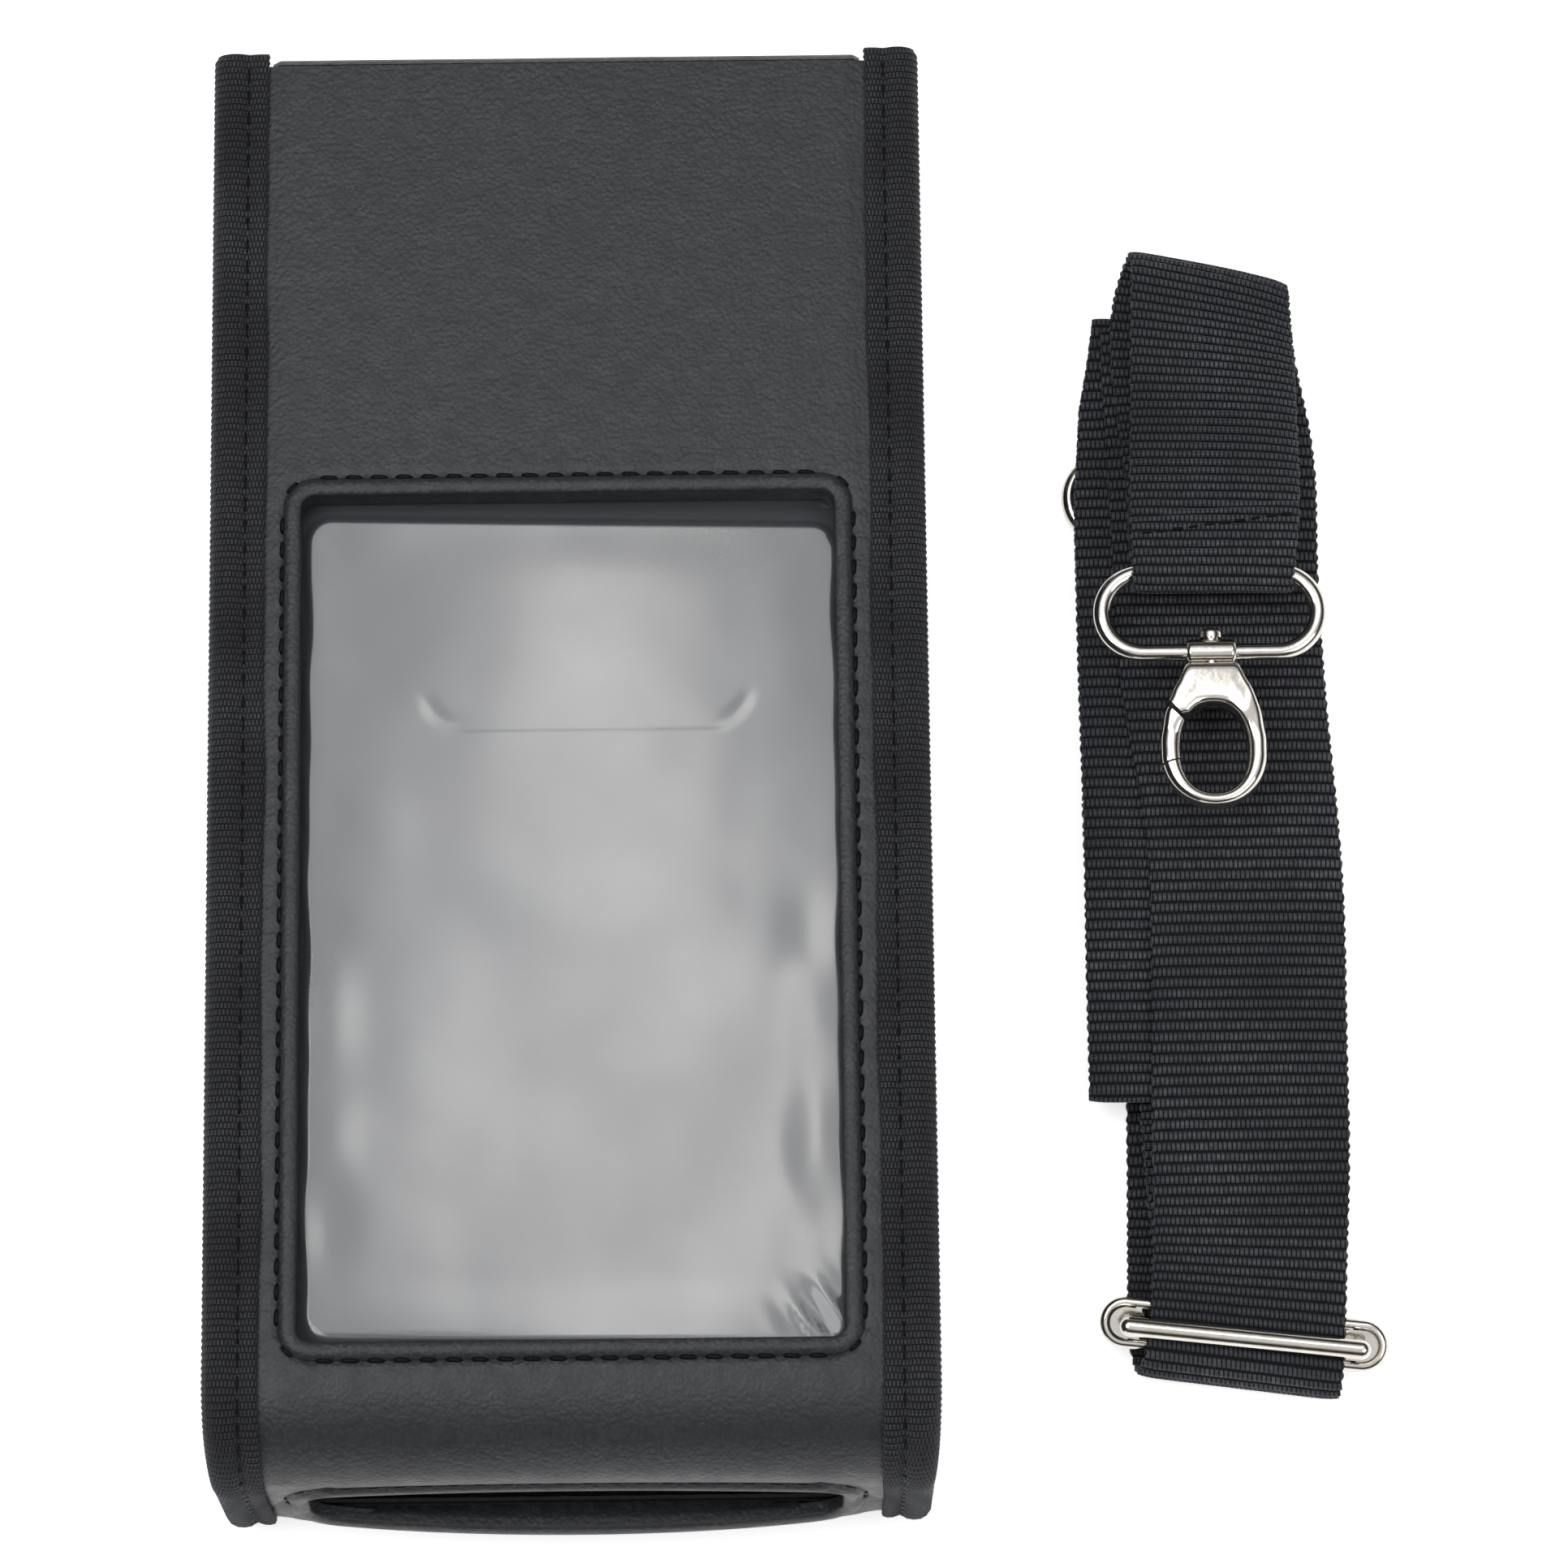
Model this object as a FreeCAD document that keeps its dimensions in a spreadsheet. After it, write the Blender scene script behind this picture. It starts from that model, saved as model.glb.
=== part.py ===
"""Leather window case for a handheld terminal, with its clip-on shoulder strap folded beside it.

The case lies on its back: +Z is out of the window, +Y is the flap end, +X is its right side.
The origin is the middle of the back's rest face. Lengths are in millimetres.
"""
import FreeCAD, Part
import math
import os
import re
from FreeCAD import Placement, Rotation, Vector

doc = FreeCAD.newDocument("window_case")
dims = doc.addObject("Spreadsheet::Sheet", "Dims")

DRIVING = [
    # the case's outline
    ("case_half", 47.0, "half of the width over the binding tapes"),
    ("case_top", 96.0, "flap end of the case"),
    ("case_foot", 96.0, "from the origin to the outer face of the bottom"),
    ("front_face", 40.0, "outer face of the front leather"),
    ("wrap_back", 2.6, "outer face of the back leather beside the pad"),
    ("roll_radius", 12.0, "roll between the front and the bottom"),
    ("heel_radius", 5.0, "bend between the bottom and the back"),
    ("wrap_split", 9.0, "height where the front and back leathers meet on the bottom"),
    ("body_top", 93.2, "open end of the case's walls under the flap"),
    # layers
    ("leather", 1.3, "thickness of the wrap leather"),
    ("gusset_skin", 1.2, "thickness of the gusset leather"),
    ("foam", 2.0, "foam behind the front leather"),
    ("lining", 0.6, "thickness of each lining"),
    ("board", 1.2, "stiffener board in the back"),
    # seams and binding
    ("tape_skin", 0.7, "thickness of the binding tape"),
    ("tape_inner", 39.6, "half of the width between the tapes' front edges"),
    ("tape_lap", 41.2, "half of the width between the tapes' hidden edges"),
    ("flange_half", 46.3, "half of the width over the bound seam flanges"),
    ("gusset_half", 40.6, "half of the width over the side gussets"),
    ("panel_half", 38.9, "half of the width of foam, board and linings"),
    # window
    ("window_half", 35.0, "half of the clear window width"),
    ("window_head", 34.0, "clear window edge nearest the flap"),
    ("window_sill", 79.0, "from the origin to the clear window edge nearest the bottom"),
    ("window_corner", 1.9, "corner radius of the clear window"),
    ("lip_width", 2.0, "width of the turned edge round the window"),
    ("lip_rise", 0.3, "how far the turned edge stands above the leather"),
    ("film_skin", 0.5, "thickness of the clear film"),
    ("film_lap", 3.0, "how far the film runs under the leather at its ends"),
    ("film_half", 38.5, "half of the film's width"),
    # bottom slot
    ("slot_half", 34.5, "half of the slot's width"),
    ("slot_low", 12.0, "slot edge nearest the back"),
    ("slot_high", 24.0, "slot edge nearest the front"),
    ("facing_width", 2.5, "width of the facing round the slot"),
    ("facing_skin", 1.0, "thickness of the facing"),
    # padded back
    ("pad_half", 37.5, "half of the width of the back pad"),
    ("pad_top", 54.0, "pad edge nearest the flap"),
    ("pad_foot", 86.0, "from the origin to the pad edge nearest the bottom"),
    ("pad_skin", 1.2, "thickness of the pad's leather"),
    # flap
    ("flap_half", 39.2, "half of the flap's width over the mouth"),
    ("tail_half", 36.0, "half of the tail's width"),
    ("tail_end", 57.0, "end of the flap's tail on the back"),
    ("tail_face", 0.4, "gap between the tail and the surface below"),
    ("flap_skin", 1.2, "thickness of the flap leather"),
    ("flap_bend", 3.0, "outer bend radius of the flap"),
    ("flap_start", 94.6, "where the flap leaves the front leather"),
    ("pad_clear", 0.1, "gap between the hook pad and the loop pad"),
    ("hook_pad_skin", 0.55, "thickness of the hook pad"),
    ("fastener_half", 12.5, "half of the length of the hook and loop pads"),
    ("fastener_mid", 72.0, "middle of the hook and loop pads"),
    # D rings and their tabs
    ("dee_wire", 1.1, "wire radius of the D rings"),
    ("dee_radius", 9.9, "radius of the D rings' bow"),
    ("dee_bar", 74.0, "place of the D rings' straight bars"),
    ("dee_height", 21.0, "height of the D rings' middle"),
    ("dee_stand", 42.8, "from the origin out to the D rings' bars"),
    ("dee_clear", 0.08, "running clearance of the D ring in its tab"),
    ("tab_half", 8.2, "half of the tabs' width"),
    ("tab_end", 52.0, "sewn end of the tabs"),
    ("tab_skin", 2.4, "thickness of the doubled tab"),
    ("rivet_mid", 62.0, "place of the rivets"),
    ("rivet_head", 3.6, "radius of the rivet heads"),
    ("rivet_rise", 0.9, "height of the rivet heads"),
    ("rivet_shank", 1.4, "radius of the rivet shanks"),
    # strap webbing
    ("web_skin", 1.2, "thickness of the webbing"),
    ("web_half", 13.0, "half of the webbing's width"),
    ("web_ring_half", 10.25, "half of the webbing's gathered width in the rings"),
    ("strap_mid", 88.0, "middle of the lower run"),
    ("strap_foot", 77.2, "from the origin to the centre of the lower fold"),
    ("strap_head", 66.0, "upper end of the lower run"),
    ("strap_rise", 0.02, "slope of the upper layers"),
    ("run_level", 7.85, "underside of the lower run above the rear fold"),
    ("rear_mid", 81.3, "middle of the rear layers"),
    ("rear_foot", 40.6, "from the origin to the rear layers' lower fold"),
    ("rear_head", 66.8, "rear layers' upper fold"),
    ("rear_level", 5.35, "underside of the rear layers at their lower fold"),
    ("rear_stack", 2.4, "thickness of the two rear layers"),
    ("loop_head", 69.0, "centre of the upper loop's fold"),
    ("loop_drop", 12.2, "underside of the upper loop"),
    ("loop_tail", 37.0, "sewn end of the upper loop"),
    ("ring_loop_clear", 0.25, "room between a ring's wire and its webbing loop"),
    # swivel hooks, each in its own frame: the ring's lower bar is at the origin
    ("ring_wire", 1.15, "wire radius of the rings"),
    ("ring_bend", 5.6, "centreline radius of the rings' ends"),
    ("ring_straight", 17.8, "straight length of the rings' bars"),
    ("boss_radius", 1.75, "radius of the swivel boss on the ring"),
    ("boss_half", 3.3, "half of the boss's length"),
    ("shank_radius", 1.05, "radius of the swivel pin"),
    ("shank_clear", 0.08, "running clearance of the swivel pin"),
    ("head_radius", 1.5, "radius of the swivel pin's head"),
    ("head_rise", 1.3, "height of the swivel pin's head"),
    ("swivel_gap", 0.1, "end play of the swivel"),
    ("hook_skin", 4.4, "thickness of the hook"),
    ("hook_bow", 7.1, "outer radius of the hook's bow"),
    ("hook_reach", 14.5, "from the ring's bar to the centre of the bow"),
    ("hook_neck", 3.45, "half of the hook's width at the swivel"),
    ("hook_edge", 0.8, "rounding of the hook's outer edges"),
    ("eye_edge", 0.7, "rounding of the hook opening's edges"),
    ("eye_half", 4.5, "half of the hook opening's width"),
    ("eye_top", 7.8, "from the ring's bar to the top of the opening"),
    ("eye_foot", 19.8, "from the ring's bar to the foot of the opening"),
    ("gate_top", 8.5, "from the ring's bar to the gate's upper end"),
    ("gate_foot", 17.0, "from the ring's bar to the gate's free end"),
    ("gate_gap", 0.2, "gap at the gate's pivot end"),
    ("gate_nose", 0.42, "gap at the gate's free end"),
    ("gate_swing", 24.0, "how far the gate opens, in degrees"),
    ("gate_skin", 3.2, "thickness of the gate"),
    ("pivot_out", 4.3, "gate pivot, out from the hook's axis"),
    ("pivot_down", 7.6, "gate pivot, from the ring's bar"),
    ("knuckle", 1.05, "radius of the gate's knuckle"),
    ("knuckle_skin", 2.0, "thickness of the gate's knuckle"),
    ("gate_pin", 0.5, "radius of the gate pin"),
    ("pin_clear", 0.05, "running clearance of the gate on its pin"),
    ("spring_bend", 0.85, "radius of the gate spring's coil"),
    ("spring_wire", 0.2, "wire radius of the gate spring"),
    ("spring_pitch", 0.75, "pitch of the gate spring"),
    ("spring_run", 3.0, "length of the gate spring"),
    ("front_hook_x", 85.4, "place of the upper hook's ring bar"),
    ("front_hook_y", 17.8, "place of the upper hook's ring bar"),
    ("front_hook_z", 17.4, "height of the upper hook's ring bar"),
    ("rear_hook_x", 82.1, "place of the lower hook's ring bar"),
    ("rear_hook_y", 49.9, "place of the lower hook's ring bar"),
    ("rear_hook_z", 2.6, "height of the lower hook's ring bar"),
    # slider
    ("slider_x", 87.9, "middle of the slider"),
    ("slider_y", 72.4, "from the origin to the middle of the slider"),
    ("slider_z", 4.4, "height of the slider's frame"),
    ("slider_tilt", 16.7, "slope of the slider's frame"),
    ("slider_skew", 6.5, "turn of the slider across the webbing"),
    ("slider_pitch", 2.65, "from the middle of the frame to each long bar"),
    ("slider_wire", 0.8, "wire radius of the slider's frame"),
    ("slider_straight", 31.4, "straight length of the slider's long bars"),
    ("slider_bar", 1.3, "radius of the bar over the webbing"),
    ("slider_reach", 15.3, "half of the length between the bar's posts"),
    ("slider_lift", 5.75, "from the frame up to the bar"),
    ("slider_post", 0.9, "radius of the bar's posts"),
    ("slider_web", 1.0, "thickness of the slider's end webs"),
    ("sewn_skin", 0.9, "thickness of the webbing sewn round the slider"),
    ("sewn_tail", 3.4, "length of the sewn tail beyond the bar"),
]

for row, (alias, value, note) in enumerate(DRIVING, start=1):
    dims.set(f"A{row}", note)
    dims.set(f"B{row}", str(value))
    dims.setAlias(f"B{row}", alias)
doc.recompute()

ALIASES = [alias for alias, _, _ in DRIVING]
WORDS = re.compile(r"\b(" + "|".join(sorted(ALIASES, key=len, reverse=True)) + r")\b")
AXES = {
    "X": Rotation(Vector(0, 1, 0), 90),
    "Y": Rotation(Vector(1, 0, 0), -90),
    "Z": Rotation(),
}
SUB_PARTS = []


def bind(obj, prop, rule):
    """Tie one property to the sheet; a rule is a formula of aliases."""
    obj.setExpression(prop, WORDS.sub(r"Dims.\1", str(rule)))


def size(alias):
    return float(getattr(dims, alias))


def place(obj, x, y, z):
    for axis, rule in zip("xyz", (x, y, z)):
        bind(obj, f"Placement.Base.{axis}", rule)


def sub_part(obj, label):
    """Name a finished piece; its label is the name of its file."""
    obj.Label = label
    SUB_PARTS.append(obj)
    return obj


def box(name, xs, ys, zs):
    """A box from three pairs of rules, low and high."""
    obj = doc.addObject("Part::Box", name)
    for prop, (low, high) in zip(("Length", "Width", "Height"), (xs, ys, zs)):
        bind(obj, prop, f"({high}) - ({low})")
    place(obj, xs[0], ys[0], zs[0])
    return obj


def rod(name, axis, start, radius, length):
    """A cylinder along an axis, from its start point."""
    obj = doc.addObject("Part::Cylinder", name)
    obj.Placement.Rotation = AXES[axis]
    bind(obj, "Radius", radius)
    bind(obj, "Height", length)
    place(obj, *start)
    return obj


def bow(name, centre, turn, bend, wire, sweep=180):
    """Part of a torus; turn takes its flat from XY to where it belongs."""
    obj = doc.addObject("Part::Torus", name)
    obj.Placement.Rotation = turn
    bind(obj, "Radius1", bend)
    bind(obj, "Radius2", wire)
    obj.Angle3 = sweep
    place(obj, *centre)
    return obj


def cut(name, base, tool):
    obj = doc.addObject("Part::Cut", name)
    obj.Base = base
    obj.Tool = tool
    return obj


def common(name, base, tool):
    obj = doc.addObject("Part::Common", name)
    obj.Base = base
    obj.Tool = tool
    return obj


def fuse(name, *pieces):
    obj = doc.addObject("Part::MultiFuse", name)
    obj.Shapes = list(pieces)
    obj.Refine = True
    return obj


def rounded(name, base, pick, radius):
    """Round the edges of base that pick accepts; radius is an alias or a number."""
    doc.recompute()
    value = size(radius) if isinstance(radius, str) else radius
    chosen = [(n, value, value) for n, edge in enumerate(base.Shape.Edges, start=1) if pick(edge)]
    if not chosen:
        raise RuntimeError(f"{name}: no edge to round")
    obj = doc.addObject("Part::Fillet", name)
    obj.Base = base
    obj.Edges = chosen
    return obj


def lies(edge, **where):
    """True where the whole edge lies at the given coordinates."""
    low = (edge.BoundBox.XMin, edge.BoundBox.YMin, edge.BoundBox.ZMin)
    high = (edge.BoundBox.XMax, edge.BoundBox.YMax, edge.BoundBox.ZMax)
    for axis, value in where.items():
        n = "xyz".index(axis)
        if abs(low[n] - value) > 1e-3 or abs(high[n] - value) > 1e-3:
            return False
    return True


def upright(edge):
    return edge.BoundBox.ZLength > 0.1 and edge.BoundBox.XLength + edge.BoundBox.YLength < 1e-3


# ---------------------------------------------------------------- the wrap's rounded profile
def wrap_block(name, inset, xs, y_top):
    """The case's side profile, moved inwards by inset and filled."""
    base = box(name + "_block", xs, (f"-case_foot + {inset}", y_top),
               (f"wrap_back + {inset}", f"front_face - {inset}"))
    doc.recompute()
    foot = base.Shape.BoundBox.YMin
    front = base.Shape.BoundBox.ZMax
    back = base.Shape.BoundBox.ZMin
    roll = rounded(name + "_roll", base, lambda e: lies(e, y=foot, z=front),
                   size("roll_radius") - inset)
    return rounded(name + "_heel", roll, lambda e: lies(e, y=foot, z=back),
                   size("heel_radius") - inset)


def wrap_band(name, outer, inner, xs, y_top):
    """A layer of the wrap between two insets of the profile, open at the flap end."""
    solid = wrap_block(name + "_outer", outer, xs, y_top)
    wide = (f"({xs[0]}) - 1", f"({xs[1]}) + 1")
    hollow = wrap_block(name + "_inner", inner, wide, f"({y_top}) + 1")
    return cut(name + "_band", solid, hollow)


def window_block(name, grow, zs, corner):
    """A block with the window's outline, grown on every side."""
    xs = (f"-window_half - {grow}", f"window_half + {grow}")
    ys = (f"-window_sill - {grow}", f"window_head + {grow}")
    return rounded(name + "_round", box(name, xs, ys, zs), upright, corner)


def slot_block(name, grow, ys):
    """A block with the bottom slot's outline, grown on every side."""
    block = box(name, (f"-slot_half - {grow}", f"slot_half + {grow}"), ys,
                (f"slot_low - {grow}", f"slot_high + {grow}"))
    across = (lambda e: e.BoundBox.YLength > 0.1 and e.BoundBox.XLength + e.BoundBox.ZLength < 1e-3)
    return rounded(name + "_round", block, across, 3.0)


FULL = ("-flange_half", "flange_half")
PANEL = ("-panel_half", "panel_half")
LIP_CORNER = size("window_corner") + size("lip_width")


# ---------------------------------------------------------------- leather wrap
def make_wrap():
    band = wrap_band("wrap", 0, size("leather"), FULL, "body_top + 1.1")
    low = box("wrap_low", ("-case_half - 5", "case_half + 5"), ("-case_foot - 5", "case_top + 5"),
              ("wrap_back - 5", "wrap_split"))
    front = cut("front_blank", band, low)
    hole = window_block("front_hole", size("lip_width"), ("front_face - 9", "front_face + 5"),
                        LIP_CORNER)
    slot = slot_block("front_slot", 0, ("-case_foot - 5", "-case_foot + 8"))
    sub_part(cut("front_leather_cut", cut("front_windowed", front, hole), slot), "front_leather")

    back_band = wrap_band("wrap_back_side", 0, size("leather"), FULL, "body_top")
    low_again = box("back_low", ("-case_half - 5", "case_half + 5"),
                    ("-case_foot - 5", "case_top + 5"), ("wrap_back - 5", "wrap_split"))
    sub_part(common("back_leather_cut", back_band, low_again), "back_leather")


def make_back():
    pad = box("pad_shell", ("-pad_half", "pad_half"), ("-pad_foot", "pad_top"), (0, "wrap_back"))
    rim = rounded("pad_corners", pad, upright, 6.0)
    hollow = box("pad_hollow", ("-pad_half + pad_skin", "pad_half - pad_skin"),
                 ("-pad_foot + pad_skin", "pad_top - pad_skin"), ("pad_skin", "wrap_back + 1"))
    hollow_round = rounded("pad_hollow_corners", hollow, upright, 4.8)
    sub_part(cut("pad_leather_cut", rim, hollow_round), "back_pad_leather")
    fill = box("pad_fill", ("-pad_half + pad_skin", "pad_half - pad_skin"),
               ("-pad_foot + pad_skin", "pad_top - pad_skin"), ("pad_skin", "wrap_back"))
    sub_part(rounded("pad_fill_corners", fill, upright, 4.8), "back_pad_foam")

    inner = "wrap_back + leather"
    ys = ("-case_foot + 8", "body_top")
    sub_part(box("board_plate", PANEL, ys, (inner, f"{inner} + board")), "back_board")
    sub_part(box("back_lining_plate", PANEL, ys,
                 (f"{inner} + board", f"{inner} + board + lining")), "back_lining")
    sub_part(box("loop_plate", ("-tail_half + 6", "tail_half - 6"),
                 ("fastener_mid - fastener_half", "fastener_mid + fastener_half"),
                 ("tail_face + flap_skin + hook_pad_skin + pad_clear", "wrap_back")), "loop_pad")


def make_front_layers():
    ys = ("-case_foot + 12", "body_top")
    skin = "front_face - leather"
    hole = window_block("foam_hole", size("lip_width"), ("front_face - 9", "front_face"),
                        LIP_CORNER)
    sub_part(cut("foam_cut", box("foam_plate", PANEL, ys, (f"{skin} - foam", skin)), hole),
             "front_foam")
    back = f"{skin} - foam"
    sub_part(cut("lining_cut", box("lining_plate", PANEL, ys, (f"{back} - lining", back)), hole),
             "front_lining")
    frame_back = f"{back} - 2 * lining"
    lap = ("-film_half", "film_half")
    lap_ys = ("-window_sill - lip_width - film_lap", "window_head + lip_width + film_lap")
    sub_part(cut("backing_cut", box("backing_plate", lap, lap_ys, (frame_back, f"{back} - lining")),
                 hole), "window_backing")
    film = box("film_plate", lap, lap_ys, (f"{frame_back} - film_skin", frame_back))
    sub_part(rounded("film_corners", film, upright, 2.0), "window_film")
    lip = window_block("lip_block", size("lip_width"), (frame_back, "front_face + lip_rise"),
                       LIP_CORNER)
    clear = window_block("lip_hole", 0, ("front_face - 9", "front_face + 5"), "window_corner")
    ring = cut("lip_ring", lip, clear)
    crown = size("front_face") + size("lip_rise")
    sub_part(rounded("lip_crown", ring, lambda e: lies(e, z=crown), 0.9), "window_lip")


def make_bottom():
    inner = "-case_foot + leather"
    plate = box("bottom_plate", PANEL, (inner, f"{inner} + lining"), ("wrap_split", "slot_high + 3"))
    hole = slot_block("bottom_hole", 1, (f"{inner} - 2", f"{inner} + 4"))
    sub_part(cut("bottom_lining_cut", plate, hole), "bottom_lining")
    ring = slot_block("facing_block", size("facing_width"), ("-case_foot - facing_skin", "-case_foot"))
    clear = slot_block("facing_hole", 0, ("-case_foot - 4", "-case_foot + 2"))
    sub_part(cut("facing_cut", ring, clear), "slot_facing")


def side_span(side, low, high):
    """A span across X on the right side (1), or its mirror image on the left (-1)."""
    if side > 0:
        return (low, high)
    return (f"-({high})", f"-({low})")


def make_side(side, word):
    skin = size("leather")
    under = skin + size("gusset_skin")
    wall = wrap_block(f"wall_{word}", skin, side_span(side, "gusset_half - gusset_skin", "gusset_half"),
                      "case_top - 0.8")
    flange = wrap_band(f"flange_{word}", skin, under, side_span(side, "gusset_half - 0.2", "flange_half"),
                       "case_top - 0.8")
    sub_part(fuse(f"gusset_fuse_{word}", wall, flange), f"gusset_{word}")
    inner = size("leather") + size("gusset_skin") + size("board") + size("lining")
    sub_part(wrap_block(f"side_lining_{word}", inner,
                        side_span(side, "gusset_half - gusset_skin - lining - 0.1",
                                  "gusset_half - gusset_skin"), "body_top"), f"gusset_lining_{word}")

    tape = wrap_band(f"tape_{word}", -size("tape_skin"), under + size("tape_skin"),
                     side_span(side, "tape_inner", "case_half"), "case_top")
    groove = wrap_band(f"tape_groove_{word}", 0, under,
                       side_span(side, "tape_inner - 2", "flange_half"), "case_top + 2")
    relief = wrap_band(f"tape_relief_{word}", under - 0.1, under + 2 * size("tape_skin"),
                       side_span(side, "tape_inner - 2", "tape_lap"), "case_top + 2")
    sub_part(cut(f"tape_cut_{word}", cut(f"tape_bound_{word}", tape, groove), relief), f"tape_{word}")


def make_dee(side, word):
    """The tab, its rivet and the D ring on one gusset."""
    stand = f"{side} * dee_stand"
    block = box(f"tab_block_{word}", side_span(side, "gusset_half", "gusset_half + tab_skin"),
                ("tab_end", "dee_bar"), ("dee_height - tab_half", "dee_height + tab_half"))
    roll = rod(f"tab_roll_{word}", "Z", (stand, "dee_bar", "dee_height - tab_half"),
               "dee_stand - gusset_half", "2 * tab_half")
    bore = rod(f"tab_bore_{word}", "Z", (stand, "dee_bar", "dee_height - tab_half - 1"),
               "dee_wire + dee_clear", "2 * tab_half + 2")
    through = side_span(side, "gusset_half - 1", "gusset_half + tab_skin + 1")[0]
    shank = rod(f"tab_shank_{word}", "X", (through, "rivet_mid", "dee_height"), "rivet_shank",
                "tab_skin + 2")
    bored = cut(f"tab_bored_{word}", fuse(f"tab_fuse_{word}", block, roll), bore)
    sub_part(cut(f"tab_cut_{word}", bored, shank), f"ring_tab_{word}")

    out = "gusset_half + tab_skin"
    head = rod(f"rivet_head_{word}", "X", (side_span(side, out, f"{out} + rivet_rise")[0], "rivet_mid",
                                           "dee_height"), "rivet_head", "rivet_rise")
    edge = size("gusset_half") + size("tab_skin") + size("rivet_rise")
    domed = rounded(f"rivet_dome_{word}", head, lambda e: lies(e, x=side * edge), 0.7)
    stem = rod(f"rivet_stem_{word}", "X", (side_span(side, "gusset_half", out)[0], "rivet_mid",
                                           "dee_height"), "rivet_shank", "tab_skin")
    sub_part(fuse(f"rivet_fuse_{word}", domed, stem), f"tab_rivet_{word}")

    bar = rod(f"dee_rod_{word}", "Z", (stand, "dee_bar", "dee_height - dee_radius"), "dee_wire",
              "2 * dee_radius")
    upward = Rotation(Vector(0, 1, 0), 90)
    ring = bow(f"dee_bow_{word}", (stand, "dee_bar", "dee_height"), upward, "dee_radius", "dee_wire")
    ends = [doc.addObject("Part::Sphere", f"dee_end_{word}_{n}") for n in range(2)]
    for ball, rule in zip(ends, ("dee_height - dee_radius", "dee_height + dee_radius")):
        bind(ball, "Radius", "dee_wire")
        place(ball, stand, "dee_bar", rule)
    sub_part(fuse(f"dee_fuse_{word}", bar, ring, *ends), f"d_ring_{word}")


# ---------------------------------------------------------------- flap
def make_flap():
    def shell(name, inset, xs, y_low):
        block = box(name, xs, (y_low, f"case_top - {inset}"),
                    (f"tail_face + {inset}", f"front_face - {inset}"))
        doc.recompute()
        end = block.Shape.BoundBox.YMax
        return rounded(name + "_bends", block, lambda e: lies(e, y=end) and e.BoundBox.XLength > 1,
                       size("flap_bend") - inset)

    skin = size("flap_skin")
    outer = shell("flap_outer", 0, ("-flap_half", "flap_half"), "tail_end")
    inner = shell("flap_inner", skin, ("-flap_half - 1", "flap_half + 1"), "tail_end - 1")
    blank = cut("flap_blank", outer, inner)
    front = box("flap_front_trim", ("-flap_half - 1", "flap_half + 1"), ("tail_end - 1", "flap_start"),
                ("front_face - 8", "front_face + 1"))
    trimmed = cut("flap_trimmed", blank, front)
    sides = [box(f"tail_trim_{n}", side_span(n, "tail_half", "flap_half + 1"),
                 ("tail_end - 1", "case_top - flap_bend"), ("tail_face - 1", "tail_face + flap_skin + 1"))
             for n in (-1, 1)]
    narrowed = cut("flap_narrowed", cut("flap_half_narrowed", trimmed, sides[0]), sides[1])
    corners = rounded("flap_corners", narrowed,
                      lambda e: upright(e) and lies(e, y=size("tail_end")), 8.0)
    sub_part(corners, "flap_leather")
    sub_part(box("flap_lining_plate", ("-flap_half + 1", "flap_half - 1"),
                 ("case_top - flap_skin - 0.8", "case_top - flap_skin"),
                 ("tail_face + flap_bend", "front_face - flap_bend")), "flap_lining")
    sub_part(box("hook_plate", ("-tail_half + 6", "tail_half - 6"),
                 ("fastener_mid - fastener_half", "fastener_mid + fastener_half"),
                 ("tail_face + flap_skin", "tail_face + flap_skin + hook_pad_skin")), "hook_pad")


# ---------------------------------------------------------------- swivel hooks
def make_swivel_hook(word, site, turn):
    """One snap hook: ring, swivel pin, hook, gate, gate pin and spring.

    Each piece is built with the ring's lower bar at the origin and the hook along -Y, then
    placed by its own Placement.
    """
    def settle(obj, label):
        obj.Placement.Rotation = turn
        place(obj, *site)
        return sub_part(obj, label)

    span = "2 * ring_bend"
    half = "ring_straight / 2"
    bars = [rod(f"ring_bar_{n}_{word}", "X", (f"-{half}", rule, 0), "ring_wire", "ring_straight")
            for n, rule in enumerate((0, span))]
    right = bow(f"ring_right_{word}", (half, "ring_bend", 0), Rotation(Vector(0, 0, 1), -90),
                "ring_bend", "ring_wire")
    left = bow(f"ring_left_{word}", (f"-{half}", "ring_bend", 0), Rotation(Vector(0, 0, 1), 90),
               "ring_bend", "ring_wire")
    boss = rod(f"boss_{word}", "X", ("-boss_half", 0, 0), "boss_radius", "2 * boss_half")
    boss_edges = rounded(f"boss_round_{word}", boss,
                         lambda e: lies(e, x=size("boss_half")) or lies(e, x=-size("boss_half")), 0.6)
    bore = rod(f"boss_bore_{word}", "Y", (0, -4, 0), "shank_radius + shank_clear", 8)
    settle(cut(f"ring_cut_{word}", fuse(f"ring_fuse_{word}", *bars, right, left, boss_edges), bore),
           f"ring_{word}")

    seat = "boss_radius + swivel_gap"
    shank = rod(f"shank_{word}", "Y", (0, "-boss_radius - swivel_gap - 1.4", 0), "shank_radius",
                "2 * boss_radius + 2 * swivel_gap + 1.5")
    head = rod(f"head_{word}", "Y", (0, seat, 0), "head_radius", "head_rise")
    crown = size("boss_radius") + size("swivel_gap") + size("head_rise")
    dome = rounded(f"head_dome_{word}", head, lambda e: lies(e, y=crown), 0.7)
    settle(fuse(f"pin_fuse_{word}", shank, dome), f"swivel_pin_{word}")

    make_hook_body(word, settle)
    make_gate(word, settle)


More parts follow.
